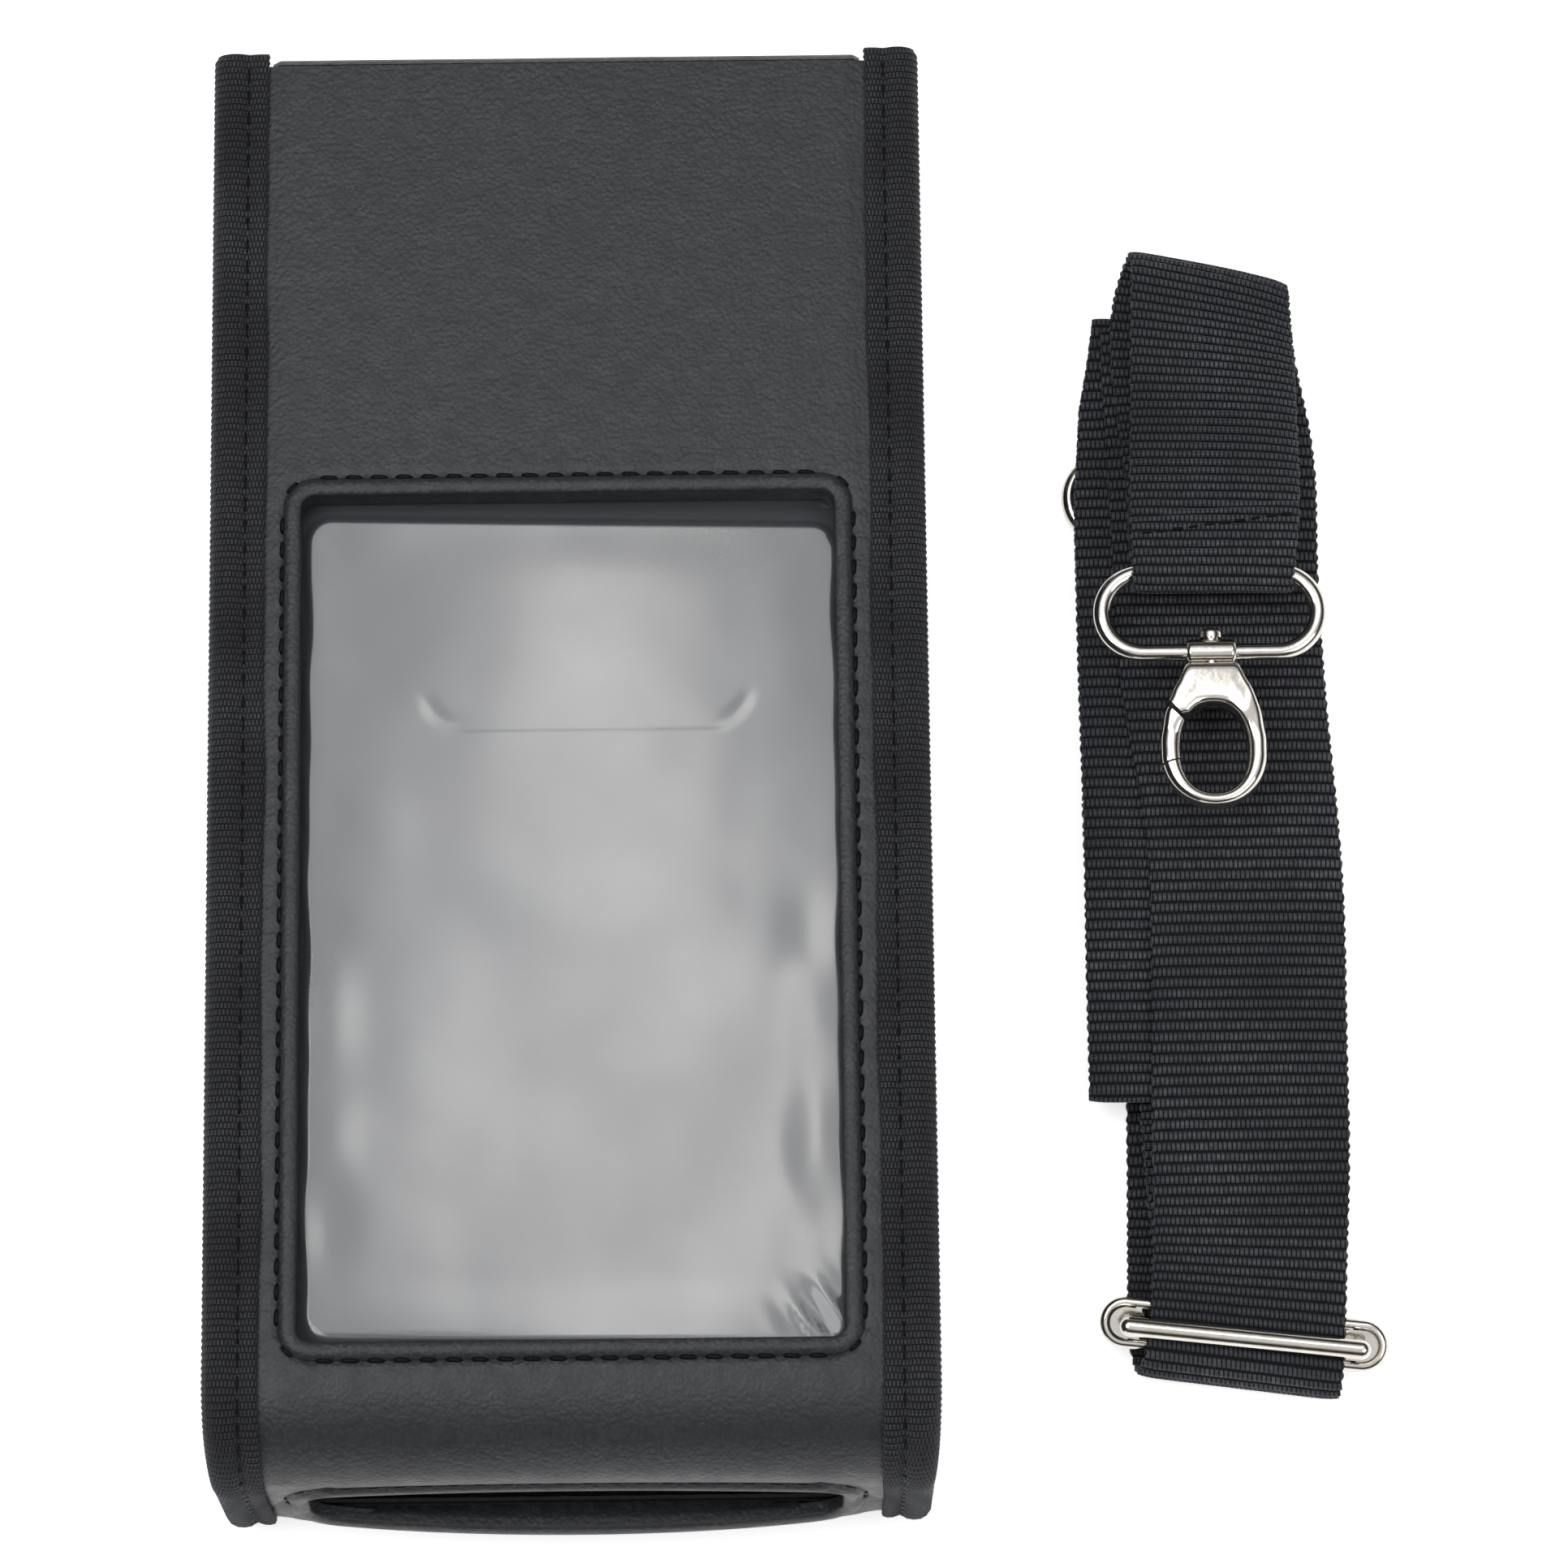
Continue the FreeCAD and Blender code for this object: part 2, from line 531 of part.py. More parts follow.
def hook_ring(name, word, skin):
    """The hook's whole outline with its opening, before the gate is cut out of it."""
    reach = size("hook_reach") - size("boss_radius") - size("swivel_gap")
    neck = size("hook_neck")
    bend = size("hook_bow")
    corner = Vector(neck, reach, 0)
    lean = corner.getAngle(Vector(1, 0, 0)) - math.acos(bend / corner.Length)
    touch = Vector(bend * math.cos(lean), bend * math.sin(lean), 0)
    wedge = doc.addObject("Part::Wedge", f"{name}_wedge_{word}")
    wedge.Xmin = -touch.x
    wedge.Xmax = touch.x
    wedge.X2min = -neck
    wedge.X2max = neck
    wedge.Ymin = 0
    wedge.Ymax = reach - touch.y
    wedge.Zmin = 0
    wedge.Z2min = 0
    bind(wedge, "Zmax", skin)
    bind(wedge, "Z2max", skin)
    place(wedge, 0, f"-hook_reach + {touch.y}", f"-({skin}) / 2")
    disc = rod(f"{name}_disc_{word}", "Z", (0, "-hook_reach", f"-({skin}) / 2"), "hook_bow", skin)
    blank = fuse(f"{name}_blank_{word}", wedge, disc)
    doc.recompute()
    level = blank.Shape.BoundBox.ZMax
    outer = rounded(f"{name}_edges_{word}", blank, lambda e: lies(e, z=level) or lies(e, z=-level),
                    "hook_edge")
    slab = box(f"{name}_eye_mid_{word}", ("-eye_half", "eye_half"),
               ("-eye_foot + eye_half", "-eye_top - eye_half"), (f"-({skin})", skin))
    ends = [rod(f"{name}_eye_{n}_{word}", "Z", (0, rule, f"-({skin})"), "eye_half", f"2 * ({skin})")
            for n, rule in enumerate(("-eye_foot + eye_half", "-eye_top - eye_half"))]
    opened = cut(f"{name}_open_{word}", outer, fuse(f"{name}_eye_{word}", slab, *ends))
    inside = size("eye_half") + 0.01

    def on_eye(edge):
        flat = lies(edge, z=level) or lies(edge, z=-level)
        return flat and edge.BoundBox.XMax < inside and edge.BoundBox.XMin > -inside

    return rounded(f"{name}_eye_edges_{word}", opened, on_eye, "eye_edge")


def make_hook_body(word, settle):
    ring = hook_ring("hook", word, "hook_skin")
    gap = box(f"gate_room_{word}", ("-hook_bow - 1", "-eye_half + 1.1"), ("-gate_foot", "-gate_top"),
              (-5, 5))
    slot = box(f"gate_slot_{word}", ("-hook_bow - 1", "-pivot_out + knuckle + 0.25"),
               ("-gate_top - 0.5", "-pivot_down + knuckle + 0.2"),
               ("-knuckle_skin / 2 - 0.1", "knuckle_skin / 2 + 0.1"))
    hollow = box(f"hook_hollow_{word}", ("-pivot_out + 0.4", "2.4"), ("-eye_top - 2.4", "-4.4"),
                 ("-knuckle_skin / 2 - 0.2", "knuckle_skin / 2 + 0.2"))
    pin = rod(f"hook_pin_bore_{word}", "Z", ("-pivot_out", "-pivot_down", -5), "gate_pin", 10)
    shank = rod(f"hook_shank_bore_{word}", "Y", (0, "-boss_radius - swivel_gap - 1.4", 0),
                "shank_radius", 3)
    tools = fuse(f"hook_tools_{word}", gap, slot, hollow, pin, shank)
    settle(cut(f"hook_cut_{word}", ring, tools), f"hook_body_{word}")
    stem = rod(f"gate_pin_stem_{word}", "Z", ("-pivot_out", "-pivot_down", "-hook_skin / 2"),
               "gate_pin", "hook_skin")
    cap = rod(f"gate_pin_cap_{word}", "Z", ("-pivot_out", "-pivot_down", "hook_skin / 2"),
              "gate_pin + 0.3", 0.2)
    settle(fuse(f"gate_pin_fuse_{word}", stem, cap), f"gate_pin_{word}")


def make_gate(word, settle):
    ring = hook_ring("gate", word, "gate_skin")
    length = box(f"gate_length_{word}", ("-hook_bow - 1", "-eye_half + 0.6"),
                 ("-gate_foot + gate_nose", "-gate_top - gate_gap"), (-5, 5))
    relief = box(f"gate_relief_{word}", (0, "2 * gate_skin"), (0, "gate_skin"), (-5, 5))
    relief.Placement.Rotation = Rotation(Vector(0, 0, 1), -size("gate_swing"))
    swing = "gate_swing * 1 deg"
    back = "gate_top - pivot_down + gate_gap"
    place(relief, f"-pivot_out - knuckle * cos({swing}) - ({back}) * sin({swing})",
          f"-pivot_down + knuckle * sin({swing}) - ({back}) * cos({swing})", -5)
    thinned = [box(f"gate_thin_{n}_{word}", ("-pivot_out - 0.4", "-eye_half + 1.4"),
                   ("-gate_top - 3.4", "-gate_top + 1"), side_span(n, "knuckle_skin / 2", "gate_skin"))
               for n in (-1, 1)]
    blade = cut(f"gate_relieved_{word}", common(f"gate_blade_{word}", ring, length),
                fuse(f"gate_reliefs_{word}", relief, *thinned))
    knuckle = rod(f"gate_knuckle_{word}", "Z", ("-pivot_out", "-pivot_down", "-knuckle_skin / 2"),
                  "knuckle", "knuckle_skin")
    neck = box(f"gate_neck_{word}", ("-pivot_out - 0.9", "-pivot_out + 0.9"),
               ("-gate_top - 1.6", "-pivot_down"), ("-knuckle_skin / 2", "knuckle_skin / 2"))
    bore = rod(f"gate_bore_{word}", "Z", ("-pivot_out", "-pivot_down", -5), "gate_pin + pin_clear", 10)
    settle(cut(f"gate_cut_{word}", fuse(f"gate_fuse_{word}", blade, knuckle, neck), bore),
           f"gate_{word}")


def make_gate_spring(word, site, turn):
    """A small coil in the hook's hollow, which presses the gate shut."""
    bend = size("spring_bend")
    coil = Part.makeHelix(size("spring_pitch"), size("spring_run"), bend)
    section = Part.Wire(Part.makeCircle(size("spring_wire"), Vector(bend, 0, 0), Vector(0, 1, 0)))
    spring = doc.addObject("Part::Feature", f"spring_coil_{word}")
    shape = Part.Wire(coil.Edges).makePipeShell([section], True, True)
    inward = Placement(Vector(-size("pivot_out") + size("knuckle") + 0.7, -5.9, 0),
                       Rotation(Vector(0, 1, 0), 90))
    spring.Shape = shape
    spring.Placement = Placement(Vector(*[size(alias) for alias in site]), turn).multiply(inward)
    sub_part(spring, f"gate_spring_{word}")


# ---------------------------------------------------------------- folded webbing
def tube_half(name, xs, y, z, inner, outer, side):
    """Half of a webbing fold: a split tube along X, open towards -side in Y."""
    length = f"({xs[1]}) - ({xs[0]})"
    shell = cut(f"{name}_tube", rod(f"{name}_out", "X", (xs[0], y, z), outer, length),
                rod(f"{name}_in", "X", (f"({xs[0]}) - 1", y, z), inner, f"({length}) + 2"))
    ys = (y, f"({y}) + 20") if side > 0 else (f"({y}) - 20", y)
    keep = box(f"{name}_keep", (f"({xs[0]}) - 1", f"({xs[1]}) + 1"), ys, (f"({z}) - 20", f"({z}) + 20"))
    return common(f"{name}_half", shell, keep)


def sloped(name, xs, ys, z_at, skin):
    """A flat run of webbing that climbs by strap_rise; z_at is its underside at its lower end."""
    run = box(name, xs, ys, (z_at, f"({z_at}) + {skin}"))
    climb = Rotation(Vector(1, 0, 0), math.degrees(math.atan(size("strap_rise"))))
    run.Placement.Rotation = climb
    return run


def make_webbing():
    width = ("strap_mid - web_half", "strap_mid + web_half")
    level = "run_level - strap_rise * (strap_foot - rear_foot)"
    run = sloped("lower_run", width, ("-strap_foot", "strap_head"), level, "web_skin")
    mid = f"({level}) / 2 + web_skin / 2"
    fold = tube_half("lower_fold", width, "-strap_foot", mid, f"({level}) / 2 - web_skin / 2",
                     f"({level}) / 2 + web_skin / 2", -1)
    back = box("back_run", width, ("-strap_foot - 0.01", "rear_hook_y - 2 * ring_bend - 3"),
               (0, "web_skin"))
    sub_part(fuse("lower_run_fuse", run, fold, back), "webbing_lower_run")

    loop = ("rear_hook_x - web_ring_half", "rear_hook_x + web_ring_half")
    bar = "rear_hook_y - 2 * ring_bend"
    bore = "ring_wire + ring_loop_clear"
    eye = tube_half("rear_eye", loop, bar, "rear_hook_z", bore, f"{bore} + web_skin", 1)
    low = box("rear_eye_low", loop, (f"{bar} - 3", bar), (0, "web_skin"))
    high_z = (f"rear_hook_z + {bore}", f"rear_hook_z + {bore} + web_skin")
    high = box("rear_eye_high", loop, (f"{bar} - 3", bar), high_z)
    inner = box("inner_run", width, ("-44", f"{bar} - 3 + 0.01"), high_z)
    sub_part(fuse("inner_run_fuse", eye, low, high, inner), "webbing_inner_run")

    rear = sloped("rear_layers", ("rear_mid - web_half", "rear_mid + web_half"),
                  ("-rear_foot", "rear_head"), "rear_level", "rear_stack")
    doc.recompute()
    tops = rounded("rear_folds", rear,
                   lambda e: e.BoundBox.XLength > 5 and
                   min(abs(e.BoundBox.YMax - rear.Shape.BoundBox.YMax),
                       abs(e.BoundBox.YMin - rear.Shape.BoundBox.YMin)) < 0.1,
                   size("rear_stack") / 2 - 0.02)
    sub_part(tops, "webbing_rear")

    upper = ("front_hook_x - web_ring_half", "front_hook_x + web_ring_half")
    hitch = "front_hook_y + 2 * ring_bend"
    eye_top = tube_half("upper_eye", upper, hitch, "front_hook_z", bore, f"{bore} + web_skin", -1)
    tail = box("upper_tail", upper, (hitch, "loop_tail"),
               (f"front_hook_z - ({bore}) - web_skin", f"front_hook_z - ({bore})"))
    face = (f"front_hook_z + {bore}", f"front_hook_z + {bore} + web_skin")
    front = box("upper_front", upper, (hitch, "loop_head"), face)
    top_mid = f"(front_hook_z + {bore} + web_skin + loop_drop) / 2"
    reach = f"(front_hook_z + {bore} + web_skin - loop_drop) / 2"
    head = tube_half("upper_fold", upper, "loop_head", top_mid, f"({reach}) - web_skin", reach, 1)
    under = box("upper_under", upper, ("40", "loop_head"), ("loop_drop", "loop_drop + web_skin"))
    sub_part(fuse("upper_loop_fuse", eye_top, tail, front, head, under), "webbing_upper_loop")


# ---------------------------------------------------------------- slider
def make_slider():
    """The frame lies between the strap's two runs; its bar stands on posts over the upper run.

    The webbing sewn round one long bar lies level. The rest is tilted as one.
    """
    skew = Rotation(Vector(0, 0, 1), -size("slider_skew"))
    stance = skew.multiply(Rotation(Vector(1, 0, 0), size("slider_tilt")))

    def settle(obj, label):
        obj.Placement.Rotation = stance
        place(obj, "slider_x", "-slider_y", "slider_z")
        return sub_part(obj, label)

    half = "slider_straight / 2"
    bars = [rod(f"slider_long_{n}", "X", (f"-{half}", rule, 0), "slider_wire", "slider_straight")
            for n, rule in enumerate(("-slider_pitch", "slider_pitch"))]
    right = bow("slider_right", (half, 0, 0), Rotation(Vector(0, 0, 1), -90), "slider_pitch",
                "slider_wire")
    left = bow("slider_left", (f"-{half}", 0, 0), Rotation(Vector(0, 0, 1), 90), "slider_pitch",
               "slider_wire")
    webs, bores, posts, corners = [], [], [], []
    for n in (-1, 1):
        plate = rod(f"slider_plate_{n}", "Z", (f"{n} * {half}", 0, "-slider_web / 2"), "slider_pitch",
                    "slider_web")
        block = box(f"slider_block_{n}", side_span(n, "slider_reach - 1.6", half),
                    ("-slider_pitch", "slider_pitch"), ("-slider_web / 2", "slider_web / 2"))
        webs += [plate, block]
        bores.append(rod(f"slider_bore_{n}", "Z", (f"{n} * slider_reach", 0, -2), "slider_post", 4))
        posts.append(rod(f"slider_post_{n}", "Z", (f"{n} * slider_reach", 0, "-slider_web / 2"),
                         "slider_post", "slider_lift + slider_web / 2"))
        ball = doc.addObject("Part::Sphere", f"slider_corner_{n}")
        bind(ball, "Radius", "slider_bar")
        place(ball, f"{n} * slider_reach", 0, "slider_lift")
        corners.append(ball)
    settle(cut("slider_frame_cut", fuse("slider_fuse", *bars, right, left, *webs),
               fuse("slider_bores", *bores)), "slider_frame")
    middle = rod("slider_middle", "X", ("-slider_reach", 0, "slider_lift"), "slider_bar",
                 "2 * slider_reach")
    settle(fuse("slider_bar_fuse", middle, *posts, *corners), "slider_bar")

    width = ("-slider_straight / 2 + 4.7", "slider_straight / 2 - 4.7")
    length = "slider_straight - 9.4"
    seat = "slider_wire + pin_clear"
    wrap = rod("sewn_wrap", "X", (width[0], 0, 0), f"{seat} + sewn_skin", length)
    flat = box("sewn_flat", width, (0, f"{seat} + sewn_tail"), ("-sewn_skin", "sewn_skin"))
    bore = rod("sewn_bore", "X", (f"{width[0]} - 1", 0, 0), seat, f"{length} + 2")
    sewn = cut("sewn_cut", fuse("sewn_fuse", wrap, flat), bore)
    sewn.Placement.Rotation = skew
    along = "slider_pitch * cos(slider_tilt * 1 deg)"
    place(sewn, f"slider_x + {along} * sin(slider_skew * 1 deg)",
          f"-slider_y + {along} * cos(slider_skew * 1 deg)",
          "slider_z + slider_pitch * sin(slider_tilt * 1 deg)")
    sub_part(sewn, "slider_webbing")


make_wrap()
make_back()
make_front_layers()
make_bottom()
for side, word in ((1, "right"), (-1, "left")):
    make_side(side, word)
    make_dee(side, word)
make_flap()
HOOKS = {
    "front": (("front_hook_x", "front_hook_y", "front_hook_z"), Rotation()),
    "rear": (("rear_hook_x", "rear_hook_y", "rear_hook_z"), Rotation(Vector(0, 0, 1), 180)),
}
for word, (site, turn) in HOOKS.items():
    make_swivel_hook(word, site, turn)
    make_gate_spring(word, site, turn)
make_webbing()
make_slider()
doc.recompute()

for obj in doc.Objects:
    if {"Invalid", "Error"} & set(obj.State):
        raise RuntimeError(f"{obj.Name} failed: {obj.State}")
os.makedirs("parts", exist_ok=True)
for obj in SUB_PARTS:
    if obj.Shape.isNull() or not obj.Shape.isValid() or obj.Shape.Volume <= 0:
        raise RuntimeError(f"{obj.Label} has no valid shape")
    obj.Shape.exportStep(f"parts/{obj.Label}.step")
    extent = obj.Shape.BoundBox
    print(f"{obj.Label:22s} {len(obj.Shape.Solids)} solid(s) {obj.Shape.Volume:10.1f} mm3  "
          f"x {extent.XMin:7.2f} {extent.XMax:7.2f}  y {extent.YMin:7.2f} {extent.YMax:7.2f}  "
          f"z {extent.ZMin:6.2f} {extent.ZMax:6.2f}")
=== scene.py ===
import math

import bmesh
import bpy
import numpy as np
from mathutils import Matrix, Vector


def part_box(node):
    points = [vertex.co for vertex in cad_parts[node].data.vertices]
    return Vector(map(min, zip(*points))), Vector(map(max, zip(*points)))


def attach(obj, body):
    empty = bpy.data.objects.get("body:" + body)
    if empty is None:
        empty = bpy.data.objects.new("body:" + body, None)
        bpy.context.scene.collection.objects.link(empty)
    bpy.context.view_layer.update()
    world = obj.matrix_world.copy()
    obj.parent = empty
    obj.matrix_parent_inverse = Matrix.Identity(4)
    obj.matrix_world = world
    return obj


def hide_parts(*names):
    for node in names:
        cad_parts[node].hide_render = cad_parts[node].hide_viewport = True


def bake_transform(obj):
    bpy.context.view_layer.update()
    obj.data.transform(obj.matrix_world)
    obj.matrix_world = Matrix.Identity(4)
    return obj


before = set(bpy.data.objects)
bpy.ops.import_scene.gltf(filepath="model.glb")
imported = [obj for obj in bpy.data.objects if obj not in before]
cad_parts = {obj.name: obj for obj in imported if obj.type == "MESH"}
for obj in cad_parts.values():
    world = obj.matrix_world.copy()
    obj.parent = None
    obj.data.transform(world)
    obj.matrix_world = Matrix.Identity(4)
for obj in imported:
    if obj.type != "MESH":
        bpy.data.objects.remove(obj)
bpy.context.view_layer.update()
MM = 0.001


# ---- camera, floor and lights
CAMERA_TURN, CAMERA_TILT = math.radians(-0.69), math.radians(15.6)
CAMERA_AT = (28.0, -247.8, 906.8)
LENS, SENSOR = 159.2, 36
camera = bpy.data.objects.new("camera", bpy.data.cameras.new("camera"))
camera.location = Matrix.Rotation(CAMERA_TURN, 3, "Z") @ Vector(CAMERA_AT) * MM
camera.rotation_euler = (CAMERA_TILT, 0, CAMERA_TURN)
camera.data.sensor_width = SENSOR
camera.data.lens = LENS
camera.data.clip_start = 0.01
bpy.context.scene.collection.objects.link(camera)
bpy.context.scene.camera = camera
bpy.context.scene.view_settings.view_transform = "Standard"


def area_light(name, at, aim, width, height, watts, colour=(1, 1, 1)):
    data = bpy.data.lights.new(name, "AREA")
    data.shape = "RECTANGLE"
    data.size = width
    data.size_y = height
    data.energy = watts
    data.color = colour
    light = bpy.data.objects.new(name, data)
    light.location = at
    light.rotation_euler = (Vector(aim) - Vector(at)).to_track_quat("-Z", "Y").to_euler()
    bpy.context.scene.collection.objects.link(light)


area_light("key", (-0.42, -0.06, 0.85), (0.02, 0, 0), 0.55, 0.55, 3.0)
area_light("fill", (0.60, -0.35, 0.75), (0.03, 0, 0), 0.6, 0.6, 1.9)
area_light("softbox", (-0.019, 0.132, 0.635), (0.0, -0.03, 0.03), 0.30, 0.40, 0.50)
area_light("strap_box", (0.225, 0.14, 0.64), (0.09, -0.02, 0), 0.12, 0.42, 0.26, (1, 0.98, 0.94))
area_light("window_glow", (-0.008, 0.13, 0.60), (0.0, -0.03, 0.03), 0.05, 0.18, 0.12, (1, 0.98, 0.95))

world = bpy.data.worlds.new("studio")
bpy.context.scene.world = world
world.use_nodes = True
tree = world.node_tree
sky = tree.nodes.new("ShaderNodeTexCoord")
split = tree.nodes.new("ShaderNodeSeparateXYZ")
ramp = tree.nodes.new("ShaderNodeValToRGB")
ramp.color_ramp.elements[0].color = (0.95, 0.95, 0.96, 1)
ramp.color_ramp.elements[1].position = 0.90
ramp.color_ramp.elements[1].color = (0.98, 0.98, 1.0, 1)
for level, shade in ((0.15, 0.85), (0.22, 0.05), (0.62, 0.06)):
    ramp.color_ramp.elements.new(level).color = (shade, shade * 0.95, shade * 0.9, 1)
tree.links.new(sky.outputs["Generated"], split.inputs[0])
tree.links.new(split.outputs["Z"], ramp.inputs["Fac"])
tree.links.new(ramp.outputs[0], tree.nodes["Background"].inputs["Color"])
tree.nodes["Background"].inputs["Strength"].default_value = 0.85


# ---- materials
class Shader:
    """A small builder for procedural materials; lengths in its textures are in millimetres."""

    def __init__(self, name, colour, rough, metal=0.0, specular=0.5):
        self.material = bpy.data.materials.new(name)
        self.material.use_nodes = True
        self.tree = self.material.node_tree
        self.face = self.tree.nodes["Principled BSDF"]
        self.colour = colour
        self.put("Base Color", (*colour, 1))
        self.put("Roughness", rough)
        self.put("Metallic", metal)
        self.put("Specular IOR Level", specular)
        self.bumped = None
        coords = self.node("ShaderNodeTexCoord")
        self.place = self.scaled(coords.outputs["Object"], 1000)
        woven = self.node("ShaderNodeUVMap")
        woven.uv_map = "cloth"
        self.uv = self.scaled(woven.outputs["UV"], 1000)

    def node(self, kind, **props):
        made = self.tree.nodes.new(kind)
        for key, value in props.items():
            setattr(made, key, value)
        return made

    def scaled(self, source, factor):
        made = self.node("ShaderNodeVectorMath", operation="SCALE")
        made.inputs["Scale"].default_value = factor
        self.link(source, made.inputs[0])
        return made.outputs[0]

    def link(self, a, b):
        self.tree.links.new(a, b)

    def put(self, socket, value):
        self.face.inputs[socket].default_value = value

    def noise(self, scale, detail=3, where=None, stretch=(1, 1, 1)):
        mapped = self.node("ShaderNodeMapping")
        mapped.inputs["Scale"].default_value = stretch
        self.link(where or self.place, mapped.inputs[0])
        made = self.node("ShaderNodeTexNoise")
        made.inputs["Scale"].default_value = scale
        made.inputs["Detail"].default_value = detail
        self.link(mapped.outputs[0], made.inputs["Vector"])
        return made.outputs["Fac"]

    def cells(self, scale):
        made = self.node("ShaderNodeTexVoronoi", feature="F1")
        made.inputs["Scale"].default_value = scale
        self.link(self.place, made.inputs["Vector"])
        return made.outputs["Distance"]

    def weave(self, wide, tall, gap):
        """Yarns laid like bricks; the value is high in the gaps between them."""
        made = self.node("ShaderNodeTexBrick")
        made.offset = 0.5
        sizes = {"Scale": 1, "Brick Width": wide, "Row Height": tall,
                 "Mortar Size": gap, "Mortar Smooth": 0.8}
        for socket, value in sizes.items():
            made.inputs[socket].default_value = value
        self.link(self.uv, made.inputs["Vector"])
        return made.outputs["Fac"]

    def span(self, source, low, high, to_low, to_high):
        made = self.node("ShaderNodeMapRange")
        for socket, value in zip(("From Min", "From Max", "To Min", "To Max"), (low, high, to_low, to_high)):
            made.inputs[socket].default_value = value
        self.link(source, made.inputs["Value"])
        return made.outputs[0]

    def tint(self, source, other, low=0.35, high=0.65):
        """Mix another colour over the surface where source is high."""
        mix = self.node("ShaderNodeMix", data_type="RGBA")
        self.link(self.span(source, low, high, 0, 1), mix.inputs["Factor"])
        was = self.face.inputs["Base Color"]
        if was.is_linked:
            self.link(was.links[0].from_socket, mix.inputs["A"])
        else:
            mix.inputs["A"].default_value = (*self.colour, 1)
        mix.inputs["B"].default_value = (*other, 1)
        self.link(mix.outputs["Result"], was)
        return self

    def rough(self, source, low, high):
        self.link(self.span(source, 0.3, 0.7, low, high), self.face.inputs["Roughness"])
        return self

    def bump(self, source, depth):
        """Depth is in millimetres."""
        made = self.node("ShaderNodeBump")
        made.inputs["Strength"].default_value = 1
        made.inputs["Distance"].default_value = depth * MM
        self.link(source, made.inputs["Height"])
        if self.bumped:
            self.link(self.bumped, made.inputs["Normal"])
        self.bumped = made.outputs[0]
        self.link(self.bumped, self.face.inputs["Normal"])
        return self


def leather(name="leather", base=(0.024, 0.026, 0.029), depth=0.075):
    made = Shader(name, base, 0.46, specular=0.42)
    made.tint(made.noise(0.045, 4), (base[0] * 0.82, base[1] * 0.82, base[2] * 0.84))
    made.tint(made.cells(1.5), (base[0] * 0.72, base[1] * 0.72, base[2] * 0.74), 0.42, 0.62)
    made.rough(made.noise(0.35, 4), 0.42, 0.54)
    made.bump(made.cells(1.5), -depth)
    made.bump(made.noise(2.6, 3), depth * 0.8)
    made.bump(made.noise(0.16, 2), 0.12)
    return made.material


def woven(name, base, yarn, other, gap, specular):
    """Cloth of polyester yarn; the ribs themselves are in the mesh, the yarns on them are here, with painted
    shade in the gaps between them.
    """
    made = Shader(name, base, 0.55, specular=specular)
    made.put("Sheen Weight", 0.12)
    made.put("Sheen Roughness", 0.45)
    made.put("Sheen Tint", (0.75, 0.8, 1, 1))
    made.tint(made.noise(0.9, 3, made.uv, (1, 2.2, 1)), other, 0.4, 0.7)
    made.tint(made.noise(0.05, 3), tuple(v * 0.7 for v in base))
    gaps = made.weave(*yarn, gap)
    # painted shade: the gaps between the yarns are darkened to a tenth of the base colour
    made.tint(gaps, tuple(v * 0.10 for v in base), 0.03, 0.6)
    made.bump(gaps, -0.16)
    made.bump(made.noise(7.0, 2, made.uv, (1, 0.35, 1)), 0.06)
    return made.material


def nickel(name="nickel", base=(0.70, 0.675, 0.63), rough=(0.09, 0.17)):
    made = Shader(name, base, 0.15, metal=1.0)
    made.tint(made.noise(0.5, 3), (base[0] * 0.9, base[1] * 0.88, base[2] * 0.85))
    made.rough(made.noise(0.8, 4), *rough)
    made.bump(made.noise(1.1, 2), 0.012)
    return made.material


def clear_film():
    made = Shader("clear_film", (0.25, 0.27, 0.30), 0.13)
    # broad lighter patches over the film: partly its milky cloudiness, partly a painted reflection gradient
    made.tint(made.noise(0.02, 2), (0.30, 0.31, 0.33))
    made.rough(made.noise(0.05, 3), 0.12, 0.18)
    made.bump(made.noise(0.03, 2), 0.25)
    made.put("Transmission Weight", 0.8)
    made.put("IOR", 1.75)
    return made.material


def fabric(name, base, scale=1.6, depth=0.08, rough=0.8):
    made = Shader(name, base, rough)
    made.tint(made.noise(0.8, 3), tuple(v * 0.7 for v in base))
    made.bump(made.cells(scale), -depth)
    made.bump(made.noise(4, 2), depth)
    return made.material


LEATHER = leather()
LEATHER_FINE = leather("leather_fine", (0.019, 0.021, 0.024), 0.035)
TAPE = woven("binding_tape", (0.034, 0.035, 0.038), (0.5, 0.88), (0.058, 0.060, 0.064), 0.12, 0.15)
WEBBING = woven("webbing", (0.052, 0.054, 0.060), (0.62, 0.6), (0.105, 0.108, 0.118), 0.125, 0.12)
THREAD = woven("thread", (0.006, 0.006, 0.007), (0.4, 0.3), (0.011, 0.011, 0.013), 0.05, 0.15)
NICKEL = nickel()
STEEL = nickel("spring_steel", (0.42, 0.41, 0.40), (0.2, 0.32))
FILM = clear_film()
LINING = fabric("lining", (0.022, 0.022, 0.024))
FOAM = fabric("foam", (0.05, 0.05, 0.052), 0.9, 0.2, 0.9)
BOARD = fabric("board", (0.16, 0.12, 0.08), 0.5, 0.05, 0.85)
HOOKS = fabric("hook_and_loop", (0.012, 0.012, 0.013), 2.2, 0.35, 0.95)

floor_shade = Shader("floor", (0.90, 0.90, 0.90), 0.55, specular=0.1)
floor_shade.tint(floor_shade.noise(0.01, 2), (0.88, 0.88, 0.88))
floor_shade.put("Emission Color", (1, 1, 1, 1))
floor_shade.put("Emission Strength", 0.62)
bpy.ops.mesh.primitive_plane_add(size=6, location=(0, 0, -0.0002))
floor = bpy.context.object
floor.name = "floor"
floor.data.materials.append(floor_shade.material)


